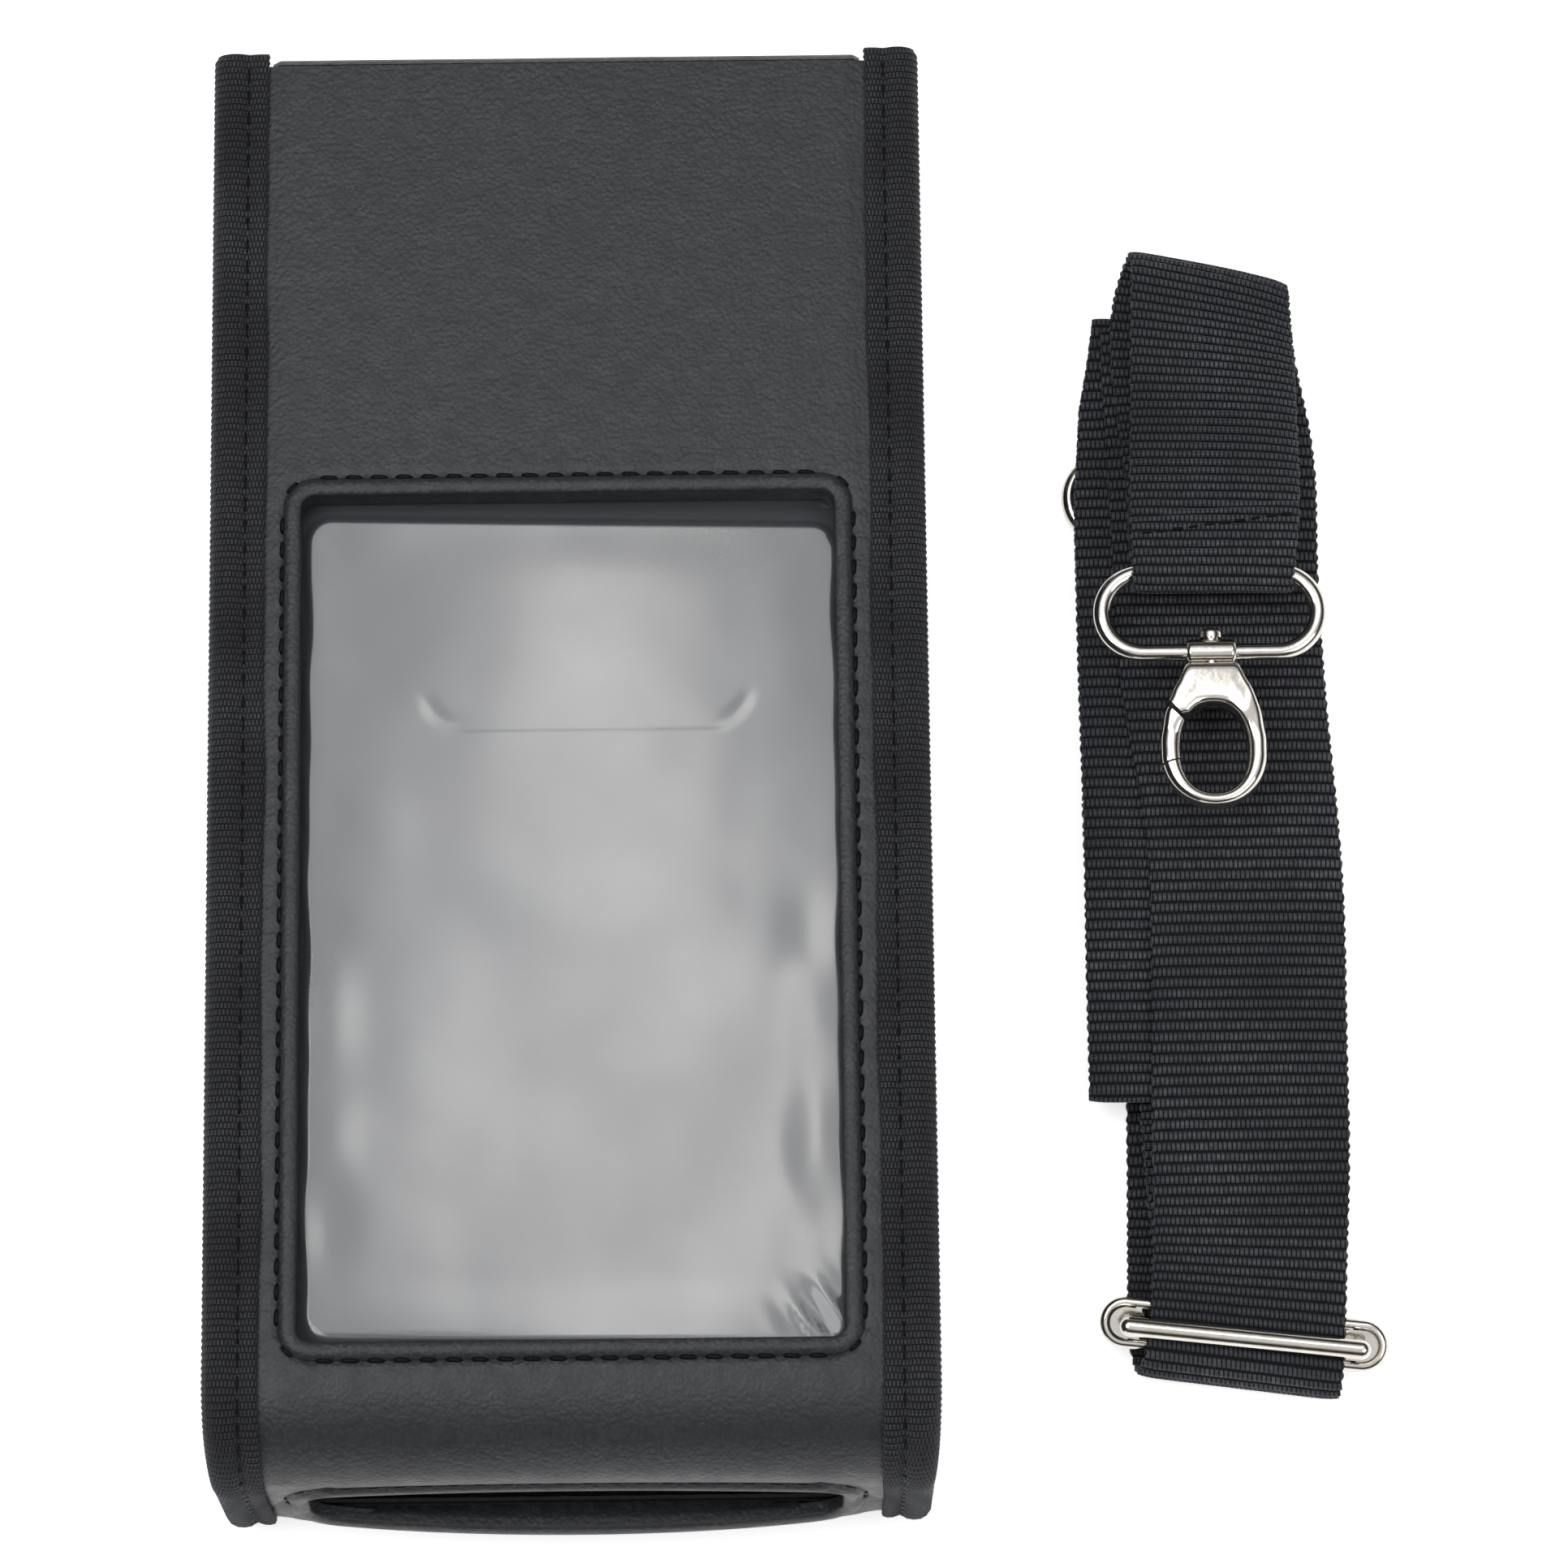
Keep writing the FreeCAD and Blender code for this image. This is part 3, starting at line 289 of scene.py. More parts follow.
def make_piece(name, points, faces, body, material, replaces=(), cloth=None, creased=60):
    """A mesh piece that rides on a body; cloth holds its texture coordinates, one pair a point."""
    mesh = bpy.data.meshes.new(name)
    mesh.from_pydata((np.asarray(points) * MM).tolist(), [], [tuple(map(int, f)) for f in faces])
    if cloth is not None:
        layer = mesh.uv_layers.new(name="cloth")
        corners = np.empty(len(mesh.loops), dtype=np.int32)
        mesh.loops.foreach_get("vertex_index", corners)
        layer.data.foreach_set("uv", (np.asarray(cloth) * MM)[corners].ravel())
    grown = bmesh.new()
    grown.from_mesh(mesh)
    bmesh.ops.recalc_face_normals(grown, faces=grown.faces)
    for edge in grown.edges:
        edge.smooth = not edge.is_manifold or edge.calc_face_angle(0) < math.radians(creased)
    for face in grown.faces:
        face.smooth = True
    grown.to_mesh(mesh)
    grown.free()
    mesh.materials.append(material)
    piece = bpy.data.objects.new(name, mesh)
    bpy.context.scene.collection.objects.link(piece)
    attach(piece, body)
    if replaces:
        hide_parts(*replaces)
    return piece


def grid(rows, columns, start=0, round_columns=False):
    """Faces of a grid whose points are numbered row by row."""
    last = columns if round_columns else columns - 1
    a = np.arange(rows - 1)[:, None] * columns + np.arange(last)[None, :] + start
    b = np.arange(rows - 1)[:, None] * columns + (np.arange(last)[None, :] + 1) % columns + start
    return np.stack([a, b, b + columns, a + columns], axis=-1).reshape(-1, 4).tolist()


def thicken(outer, inner, faces):
    """Close a sheet: its two sides and the strip round every border."""
    count = len(outer)
    seen = {}
    for face in faces:
        for a, b in zip(face, face[1:] + face[:1]):
            key = (min(a, b), max(a, b))
            seen[key] = None if key in seen else (a, b)
    strip = [(b, a, a + count, b + count) for a, b in filter(None, seen.values())]
    back = [tuple(v + count for v in reversed(face)) for face in faces]
    return np.vstack([outer, inner]), faces + back + strip


def spaced(low, high, step):
    return np.linspace(low, high, max(2, int(round((high - low) / step)) + 1))


def spots(x, y, z):
    """Points from their three coordinates."""
    return np.stack([x, y, z], axis=-1)


def hill(value, centre, width):
    return np.exp(-((value - centre) / width) ** 2)


def soft_step(value, low, high):
    t = np.clip((value - low) / (high - low), 0, 1)
    return t * t * (3 - 2 * t)


def rectangle_distance(u, v, half_u, low_v, high_v, corner):
    """Distance outside a rounded rectangle; it is negative inside."""
    mid = (low_v + high_v) / 2
    du = np.abs(u) - (half_u - corner)
    dv = np.abs(v - mid) - ((high_v - low_v) / 2 - corner)
    outside = np.hypot(np.maximum(du, 0), np.maximum(dv, 0))
    return outside + np.minimum(np.maximum(du, dv), 0) - corner


# ---- the case's wrapped profile
def cad_box(node):
    """The low and high corners of a node of the CAD model, in millimetres."""
    return [np.array(corner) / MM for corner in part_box(node)]


front_low, front_high = cad_box("front_leather")
back_low, back_high = cad_box("back_leather")
FRONT = front_high[2]
BACK = back_low[2]
TOP = front_high[1]
FOOT = front_low[1]
ROLL, HEEL = 12.0, 5.0
S_ROLL = TOP - (FOOT + ROLL)
S_BASE = S_ROLL + ROLL * math.pi / 2
S_HEEL = S_BASE + (FRONT - ROLL) - (BACK + HEEL)
S_BACK = S_HEEL + HEEL * math.pi / 2
TAPE_TOP = cad_box("tape_right")[1][1]


def on_wrap(x, s, h):
    """The point at a length s along the case's profile from its front top edge, h above the skin."""
    x, s, h = np.broadcast_arrays(*(np.asarray(v, float) for v in (x, s, h)))
    y = TOP - s
    z = FRONT + h
    roll = np.clip((s - S_ROLL) / ROLL, 0, math.pi / 2)
    turned = s > S_ROLL
    y = np.where(turned, FOOT + ROLL - (ROLL + h) * np.sin(roll), y)
    z = np.where(turned, FRONT - ROLL + (ROLL + h) * np.cos(roll), z)
    z = np.where(s > S_BASE, FRONT - ROLL - (s - S_BASE), z)
    heel = np.clip((s - S_HEEL) / HEEL, 0, math.pi / 2)
    turned = s > S_HEEL
    y = np.where(turned, FOOT + HEEL - (HEEL + h) * np.cos(heel), y)
    z = np.where(turned, BACK + HEEL - (HEEL + h) * np.sin(heel), z)
    y = np.where(s > S_BACK, FOOT + HEEL + (s - S_BACK), y)
    return spots(x, y, z)


WINDOW = dict(half_u=35.0, low_v=TOP - 34.0, high_v=TOP + 79.0, corner=1.9)
SLOT = dict(half_u=34.5, low_v=S_BASE + 4.0, high_v=S_BASE + 16.0, corner=3.6)
STITCH, SLOT_STITCH, TAPE_STITCH = 3.3, 3.45, 3.0
WINDOW_SEAM, SLOT_SEAM, TAPE_SEAM = 2.4, 2.95, 42.3


def from_window(x, s):
    return rectangle_distance(x, s, **WINDOW)


def from_slot(x, s):
    return rectangle_distance(x, s, **SLOT)


def front_height(x, s):
    """How far the front leather stands off its profile: turned edges, stitch lines and slack."""
    out = 0.10 * np.sin(x / 17 + 0.6) * np.sin(s / 29)
    edge = np.abs(x) - 39.3
    out = out - 0.25 * soft_step(edge, -2.5, 0.5)
    near = from_window(x, s)
    along = np.where(np.abs(x) - 35 > np.abs(s - (TOP + 22.5)) - 56.5, s, x)
    puff = np.sqrt(np.clip(1 - ((near - 1.15) / 1.2) ** 2, 0, 1))
    out = out + np.where(near < 2.4, 0.50 * puff, 0)
    pucker = 0.5 + 0.5 * np.cos(2 * math.pi * along / STITCH)
    out = out - (0.20 + 0.14 * pucker) * hill(near, WINDOW_SEAM, 0.42)
    out = out + 0.09 * (1 - pucker) * hill(near, 3.3, 0.8)
    hem = from_slot(x, s)
    seam = 0.5 + 0.5 * np.cos(2 * math.pi * x / SLOT_STITCH)
    puff = np.sqrt(np.clip(1 - ((hem - 1.4) / 1.45) ** 2, 0, 1))
    out = out + np.where(hem < 2.9, 0.75 * puff, 0)
    out = out - (0.22 + 0.12 * seam) * hill(hem, SLOT_SEAM, 0.45)
    base = soft_step(s, S_BASE + 5, S_BASE + 18)
    out = out + 2.3 * base * np.clip(1 - (x / 37.5) ** 2, 0, 1) ** 0.8
    out = out - 0.9 * soft_step(s, S_BASE - 6, S_BASE + 3) * (1 - base) * np.clip(1 - (x / 40) ** 2, 0, 1)
    fold = hill(np.abs(x) - 35 - 0.55 * (s - S_BASE - 6), 0, 0.9) * hill(s, S_BASE + 7, 6)
    return out - 0.7 * fold * (hem > 1.5)


def opening(rect, reach, xs, ss, drop):
    """Rings round a rounded opening, out to a rectangle whose border follows the grid lines."""
    half, low, high, corner = (rect[k] for k in ("half_u", "low_v", "high_v", "corner"))
    across = xs[np.abs(xs) <= half + reach + 1e-6]
    along = ss[(ss >= low - reach - 1e-6) & (ss <= high + reach + 1e-6)]
    border = [(x, along[0]) for x in across[:-1]] + [(across[-1], s) for s in along[:-1]]
    border += [(x, along[-1]) for x in across[::-1][:-1]] + [(across[0], s) for s in along[::-1][:-1]]
    border = np.array(border)
    mid = (low + high) / 2
    inner = np.array([half - corner, (high - low) / 2 - corner])
    away = border - (0, mid)
    core = np.clip(away, -inner, inner)
    gap = away - core
    size = np.abs(gap).max(axis=1, keepdims=True)
    slant = gap / np.maximum(size, 1e-9)
    normal = slant / np.maximum(np.hypot(*slant.T)[:, None], 1e-9)
    rim = core + (0, mid) + normal * corner
    rings = [rim + normal * away for away in (3.4, 2.9, 2.4, 1.9, 1.4, 0.9, 0.5, 0.25, 0.08, 0.0)]
    rings = [border, border + (rings[0] - border) * 0.5] + rings
    drops = [0.0] * len(rings) + list(drop)
    rings += [rim] * len(drop)
    count = len(border)
    points = np.vstack([np.hstack([ring, np.full((count, 1), d)]) for ring, d in zip(rings, drops)])
    return points, grid(len(rings), count, round_columns=True)


def holed(xs, ss, holes):
    """A grid over the profile with rounded openings; each hole is its outline, reach and edge depths."""
    points = np.array([(x, s, 0.0) for s in ss for x in xs])
    faces = []
    for cell in grid(len(ss), len(xs)):
        x, s = points[cell, :2].mean(axis=0)
        if not any(abs(x) < hole["half_u"] + reach and hole["low_v"] - reach < s < hole["high_v"] + reach
                   for hole, reach, _ in holes):
            faces.append(cell)
    stack = [points]
    for hole, reach, depths in holes:
        ring, ring_faces = opening(hole, reach, xs, ss, depths)
        shift = sum(map(len, stack))
        faces += [[v + shift for v in face] for face in ring_faces]
        stack.append(ring)
    merged, numbers, kept = {}, [], []
    for point in np.vstack(stack):
        key = tuple(np.round(point, 3))
        if key not in merged:
            merged[key] = len(kept)
            kept.append(point)
        numbers.append(merged[key])
    faces = [[numbers[v] for v in face] for face in faces]
    used = sorted({v for face in faces for v in face})
    order = {v: n for n, v in enumerate(used)}
    x, s, drop = np.array(kept)[used].T
    return x, s, drop, [[order[v] for v in face] for face in faces]


def away_from(distance, x, s):
    """Unit direction in which a distance grows."""
    step = 0.02
    du = distance(x + step, s) - distance(x - step, s)
    dv = distance(x, s + step) - distance(x, s - step)
    size = np.maximum(np.hypot(du, dv), 1e-9)
    return du / size, dv / size


REACH = 5.15
SKIN_EDGE, LINING_EDGE = 46.1, 38.7
SIDE_STEPS = [-SKIN_EDGE, -44.5, -43.0, -41.5]
SIDE_X = np.concatenate([SIDE_STEPS, spaced(-35 - REACH, 35 + REACH, 0.55), [-v for v in SIDE_STEPS[::-1]]])


def front_skin():
    low, high = WINDOW["low_v"] - REACH, WINDOW["high_v"] + REACH
    slot_low, slot_high = SLOT["low_v"] - REACH - 0.5, SLOT["high_v"] + REACH + 0.5
    ss = np.concatenate([spaced(0, low, 0.9)[:-1], spaced(low, high, 0.55)[:-1],
                         spaced(high, slot_low, 0.8)[:-1], spaced(slot_low, slot_high, 0.55)])
    x, s, drop, faces = holed(SIDE_X, ss, [(WINDOW, REACH, (0.5, 1.5, 3.0, 4.3)),
                                           (SLOT, REACH + 0.5, (0.4, 1.0, 1.7))])
    h = front_height(x, s) - drop
    outer = on_wrap(x, s, h)
    frame_near, slot_near = from_window(x, s), from_slot(x, s)
    u1, v1 = away_from(from_window, x, s)
    u2, v2 = away_from(from_slot, x, s)
    window_side = frame_near < slot_near
    push = 0.9 * (1 - soft_step(np.minimum(frame_near, slot_near), 0.4, 1.6))
    inner_h = np.where(drop > 0, np.minimum(h, -0.9), h - 1.1)
    inner = on_wrap(x + push * np.where(window_side, u1, u2), s + push * np.where(window_side, v1, v2),
                    inner_h)
    points, faces = thicken(outer, inner, faces)
    return make_piece("front_leather_skin", points, faces, "case", LEATHER,
                      ("front_leather", "window_lip", "slot_facing"))


def sheet_piece(name, to_point, us, vs, skin, body, material, replaces):
    """A closed sheet; to_point(u, v, h) gives the point h above its face."""
    u, v = (a.ravel() for a in np.meshgrid(us, vs))
    outer = to_point(u, v, np.zeros_like(u))
    inner = to_point(u, v, np.full_like(u, -skin))
    points, faces = thicken(outer, inner, grid(len(vs), len(us)))
    return make_piece(name, points, faces, body, material, replaces)


front_skin()


# ---- front padding, back, pad and linings
def front_padding():
    low, high = WINDOW["low_v"] - 2.4, WINDOW["high_v"] + 2.4
    ss = np.concatenate([spaced(1.1, low, 3)[:-1], spaced(low, high, 2)])
    xs = np.concatenate([[-LINING_EDGE], spaced(-37.4, 37.4, 2), [LINING_EDGE]])
    hole = dict(WINDOW, half_u=36.0, low_v=WINDOW["low_v"] - 1, high_v=WINDOW["high_v"] + 1)
    x, s, _, faces = holed(xs, ss, [(hole, 1.4, ())])
    ripple = 0.08 * np.sin(x / 5) * np.sin(s / 7)
    outer = on_wrap(x, s, -1.45 + 0 * x)
    inner = on_wrap(x, s, -4.2 + ripple)
    points, faces = thicken(outer, inner, faces)
    make_piece("front_padding", points, faces, "case", LINING,
               ("front_foam", "front_lining", "window_backing"))


def back_skin():
    def place(x, s, h):
        rise = -0.35 + 0.35 * soft_step(s, S_HEEL, S_BACK) + 0.10 * np.sin(x / 11) * np.sin(s / 23)
        return on_wrap(x, s, rise + h)

    end = S_BACK + back_high[1] - (FOOT + HEEL)
    rows = np.concatenate([spaced(S_BASE + 18.5, S_BACK, 0.8)[:-1], spaced(S_BACK, end, 2.0)])
    sheet_piece("back_leather_skin", place, spaced(-SKIN_EDGE, SKIN_EDGE, 2.0), rows, 1.1, "case",
                LEATHER, ("back_leather",))


def rounded_half(v, low, high, half, corner):
    """Half width of a rounded outline at v."""
    e = np.clip(np.minimum(v - low, high - v), 0, corner)
    return half - (corner - np.sqrt(np.maximum(corner ** 2 - (corner - e) ** 2, 0)))


def end_rows(low, high, corner, step):
    """Rows that are closer together where the outline turns."""
    turn = corner * (1 - np.cos(np.linspace(0.05, math.pi / 2, 9)))
    middle = spaced(low + corner, high - corner, step)
    return np.concatenate([low + turn[:-1], middle, high - turn[:-1][::-1]])


PAD_CHANNELS = (-51.0, -16.0, 19.0)


def back_pad():
    low, high = cad_box("back_pad_leather")
    half, corner = high[0], 6.0

    def place(a, y, h):
        x = a * rounded_half(y, low[1], high[1], half, corner)
        depth = -rectangle_distance(x, y, half, low[1], high[1], corner)
        crown = np.sqrt(np.clip(1 - (1 - np.clip((depth + 0.35) / 6.5, 0, 1)) ** 2.2, 0, 1))
        seam = 1 - 0.45 * hill(depth, 3.0, 0.7)
        for channel in PAD_CHANNELS:
            seam = seam - 0.62 * hill(y, channel, 1.3) * soft_step(depth, 3, 6)
        outside = BACK + 0.3 - (BACK + 0.25) * crown * seam
        return spots(x, y, np.where(h < -0.1, BACK + 0.15, outside))

    rows = end_rows(low[1], high[1], corner, 0.8)
    piece = sheet_piece("back_pad_cover", place, np.sin(np.linspace(-1, 1, 71) * math.pi / 2), rows, 1.0,
                        "case", LEATHER_FINE, ("back_pad_leather", "back_pad_foam"))


def side_lining(side, word):
    def place(y, z, h):
        x = LINING_EDGE + 0.12 * np.sin(y / 9) * np.sin(z / 6)
        return spots(side * (x + 0.6 + h), y, z)

    sheet_piece(f"side_lining_{word}", place, spaced(-90.5, 93.0, 3), spaced(7.2, 35.0, 2.5), 0.55,
                "case", LINING, (f"gusset_lining_{word}",))


def flat_lining():
    def back_place(x, y, h):
        ripple = 0.05 * np.sin(x / 6) * np.sin(y / 8)
        return spots(x, y, 5.7 + h + ripple)

    sheet_piece("back_lining_sheet", back_place, spaced(-38.8, 38.8, 3), spaced(-87.9, 93.1, 3), 0.5,
                "case", LINING, ("back_lining",))
    xs = np.concatenate([[-LINING_EDGE], spaced(-37.2, 37.2, 1.5), [LINING_EDGE]])
    ss = spaced(S_BASE + 1.5, S_BASE + 18.5, 1.2)
    hole = dict(SLOT, half_u=35.2, low_v=SLOT["low_v"] - 0.7, high_v=SLOT["high_v"] + 0.7)
    x, s, _, faces = holed(xs, ss, [(hole, 2.0, ())])
    points, faces = thicken(on_wrap(x, s, -1.4 + 0 * x), on_wrap(x, s, -1.85 + 0.03 * np.sin(x)), faces)
    make_piece("bottom_lining_sheet", points, faces, "case", LINING, ("bottom_lining",))


def gusset(side, word):
    inset = 2.6
    front, back, foot = FRONT - inset, BACK + inset, FOOT + inset
    roll, heel = ROLL - inset, HEEL - inset

    def place(y, t, h):
        e = np.clip(roll - (y - foot), 0, roll)
        top = front - (roll - np.sqrt(roll ** 2 - e ** 2))
        e = np.clip(heel - (y - foot), 0, heel)
        base = back + (heel - np.sqrt(heel ** 2 - e ** 2))
        z = base + (top - base) * t
        away = np.sin(math.pi * t)
        slack = 0.55 * away ** 2 * np.sin((y + 30) / 31) - 0.5 * hill(t, 0.5, 0.05) * soft_step(y, 20, 80)
        x = 40.35 + slack * 0.6
        return spots(side * (x + h), y, z)

    turned = foot + roll * (1 - np.cos(np.linspace(0, math.pi / 2, 12)))
    ys = np.concatenate([turned[:-1], spaced(foot + roll, 95.1, 1.6)])
    sheet_piece(f"gusset_skin_{word}", place, ys, np.linspace(0, 1, 34), 1.0, "case", LEATHER,
                (f"gusset_{word}",))


# ---- binding tapes
TAPE_SECTION = np.array([
    (39.80, -0.05), (39.64, 0.26), (39.82, 0.56), (40.45, 0.70), (41.30, 0.66), (41.90, 0.50),
    (42.30, 0.40), (42.70, 0.54), (43.30, 0.86), (44.30, 1.02), (45.35, 0.92), (46.25, 0.50),
    (46.85, -0.25), (47.00, -1.20), (46.75, -2.20), (46.00, -2.95), (44.60, -3.25), (42.60, -3.22),
    (41.35, -3.15), (41.15, -2.80), (42.50, -2.55), (45.90, -2.45), (46.15, -1.20), (45.90, -0.10)])
TAPE_END = S_BACK + TAPE_TOP - (FOOT + HEEL)
TAPE_PITCH = 0.88


def tape(side, word):
    start = TOP - TAPE_TOP
    s = np.arange(start, TAPE_END, TAPE_PITCH / 4)
    tangent = np.roll(TAPE_SECTION, -1, axis=0) - np.roll(TAPE_SECTION, 1, axis=0)
    out = np.stack([-tangent[:, 1], tangent[:, 0]], axis=1)
    out /= np.hypot(*out.T)[:, None]
    ribbed = np.array([0] + [1] * 18 + [0] * 5)
    a = TAPE_SECTION[:, 0][None, :]
    h = TAPE_SECTION[:, 1][None, :]
    around = np.cumsum(np.hypot(*(TAPE_SECTION - np.roll(TAPE_SECTION, 1, axis=0)).T))
    row = s[:, None]
    drift = 0.12 * np.sin(row / 8.3 + side) + 0.10 * np.sin(row / 3.7) * np.sin(row / 19)
    rib = np.cos(2 * math.pi * (row / TAPE_PITCH + 0.10 * np.sin(row / 5) + 0.05 * around[None, :]))
    swell = 0.085 * rib * ribbed[None, :]
    tuck = 0.22 * (0.5 + 0.5 * np.cos(2 * math.pi * row / TAPE_STITCH)) * hill(a, TAPE_SEAM, 0.5)
    corner = soft_step(row, S_ROLL, S_BASE + 6) * (1 - soft_step(row, S_HEEL, S_BACK + 4))
    a_now = a + out[None, :, 0] * swell + drift * (a < 46) - 0.9 * corner * (a - 39.6) / 7.4
    h_now = h + out[None, :, 1] * swell - tuck * (h > 0)
    end = np.clip(np.minimum(row - start, TAPE_END - row) / 1.6, 0, 1)
    shrink = 0.72 + 0.28 * np.sqrt(1 - (1 - end) ** 2)
    mid_a, mid_h = 43.4, -1.15
    a_now = mid_a + (a_now - mid_a) * np.where(a_now > mid_a, shrink, 1)
    h_now = mid_h + (h_now - mid_h) * shrink
    points = on_wrap(side * a_now, row + 0 * a, h_now).reshape(-1, 3)
    columns = len(TAPE_SECTION)
    faces = grid(len(s), columns, round_columns=True)
    faces.append(list(range(columns)))
    faces.append(list(range(len(points) - columns, len(points)))[::-1])
    cloth = np.stack(np.broadcast_arrays(around[None, :] + 0 * row, row + TAPE_PITCH / 2), axis=-1)
    return make_piece(f"tape_band_{word}", points, faces, "case", TAPE, (f"tape_{word}",),
                      cloth=cloth.reshape(-1, 2))


# ---- sewing thread
def stitches(name, centres, ways, ups, length, radius, body, dip=0.38):
    """Single stitches, each an arched thread whose ends go down into the material."""
    rounds, rings = 6, 7
    t = np.linspace(-1, 1, rings)
    angle = np.arange(rounds) * 2 * math.pi / rounds
    thread = radius * (1 - 0.5 * t ** 4)
    points, faces = [], []
    for centre, way, up in zip(*(np.asarray(v, float) for v in (centres, ways, ups))):
        way = way / np.linalg.norm(way)
        side = np.cross(way, up)
        side /= np.linalg.norm(side)
        up = np.cross(side, way)
        line = centre + np.outer(t * length / 2, way) + np.outer(0.10 - dip * t ** 4, up)
        ring = np.cos(angle)[None, :, None] * side + np.sin(angle)[None, :, None] * up
        ring = ring * thread[:, None, None]
        shift = sum(map(len, points))
        points.append((line[:, None, :] + ring).reshape(-1, 3))
        faces += grid(rings, rounds, shift, True)
        last = shift + (rings - 1) * rounds
        faces += [list(range(shift, shift + rounds)), list(range(last, last + rounds))[::-1]]
    return make_piece(name, np.vstack(points), faces, body, THREAD)


def sew_wrap(name, marks, length, radius, lift, body="case"):
    """Stitches on the profile from (x, s, direction in degrees) marks; lift(x, s) is the surface."""
    x, s, turn = np.array(marks, float).T
    turn, height = np.radians(turn), lift(x, s)
    at = on_wrap(x, s, height)
    ahead = on_wrap(x + np.cos(turn) * 0.3, s + np.sin(turn) * 0.3, height)
    up = on_wrap(x, s, height + 1) - at
    return stitches(name, at, ahead - at, up, length, radius, body)


def frame_marks(rect, away, pitch, slant=0):
    """Marks along an outline at a distance, with one diagonal stitch at each corner."""
    half, low, high = rect["half_u"] + away, rect["low_v"] - away, rect["high_v"] + away
    turn = rect["corner"] + away
    marks = []
    for n in range(-200, 200):
        at = (n + 0.5) * pitch
        if abs(at) < half - turn * 0.8:
            marks += [(at, low, slant), (at, high, slant)]
        if low + turn * 0.8 < at < high - turn * 0.8:
            marks += [(half, at, 90 + slant), (-half, at, 90 + slant)]
    give = turn * (1 - math.sqrt(0.5))
    for u in (-1, 1):
        for v, edge in ((-1, low), (1, high)):
            marks.append((u * (half - give), edge - v * give, -45 * u * v))
    return marks


for side, word in ((1, "right"), (-1, "left")):
    tape(side, word)
    gusset(side, word)
    side_lining(side, word)
front_padding()
back_skin()
back_pad()
flat_lining()

sew_wrap("window_stitches", frame_marks(WINDOW, WINDOW_SEAM, STITCH, 4), 2.45, 0.38, front_height)
sew_wrap("slot_stitches", frame_marks(SLOT, SLOT_SEAM, SLOT_STITCH), 2.5, 0.33, front_height)
TAPE_MARKS = [(side * TAPE_SEAM, s, 90) for side in (-1, 1)
              for s in np.arange(1.5, TAPE_END - 1, TAPE_STITCH)]
sew_wrap("tape_stitches", TAPE_MARKS, 2.2, 0.15, lambda x, s: 0.42 + 0 * x)


# ---- clear film
NOTCH_HALF, NOTCH_FOOT, NOTCH_ROUND = 21.5, 3.2, 6.0


def film():
    low, high = cad_box("window_film")
    face = high[2]

    def place(x, y, h):
        edge = 0.35 * np.sin(y / 5.1 + 1) * np.sin(y / 13) + 0.18 * np.sin(y / 2.3 + x)
        inside = -rectangle_distance(x - 0.4, y + 0.023 * x, 35.3 + edge * 0.6, -79.5, 31.7, 4.0)
        raised = 0.95 * soft_step(inside, -0.5, 1.1) - 0.36 * np.clip(-0.5 - inside, 0, 2.0)
        side = hill(np.abs(x), 31.0, 3.2) * soft_step(-y, -5, 40)
        ripple = 0.10 * side * np.sin(y / 9.0 + 0.6 * np.sign(x)) + 0.05 * side * np.sin(y / 3.1)
        crumple = 0.30 * hill(np.hypot(x - 32, y + 76), 0, 4.0) * np.sin(x * 1.3 + y * 0.9)
        notch = rectangle_distance(x - 2.3, y, NOTCH_HALF, NOTCH_FOOT, NOTCH_FOOT + 13, NOTCH_ROUND)
        crease = 0.10 * hill(notch, 0, 0.45) * soft_step(NOTCH_FOOT + 5.5 - y, 0, 4)
        dish = -0.35 * np.cos(x / 35 * 1.5) * hill(y, -62, 30) + 0.20 * np.sin(x / 21 + 1.0) * np.sin(y / 33)
        z = face + raised + h + ripple + crumple - crease + dish * soft_step(inside, 0, 9)
        return spots(x, y, z)

    ys = np.concatenate([spaced(low[1], 29.0, 0.8)[:-1], spaced(29.0, 34.0, 0.25)[:-1], [35.5, high[1]]])
    xs = np.concatenate([[low[0], -36.6], spaced(-35.2, -31.5, 0.25), spaced(-31.0, 31.0, 0.8),
                         spaced(31.5, 35.2, 0.25), [36.6, high[0]]])
    sheet_piece("film_sheet", place, xs, ys, 0.35, "case", FILM, ("window_film",))


film()


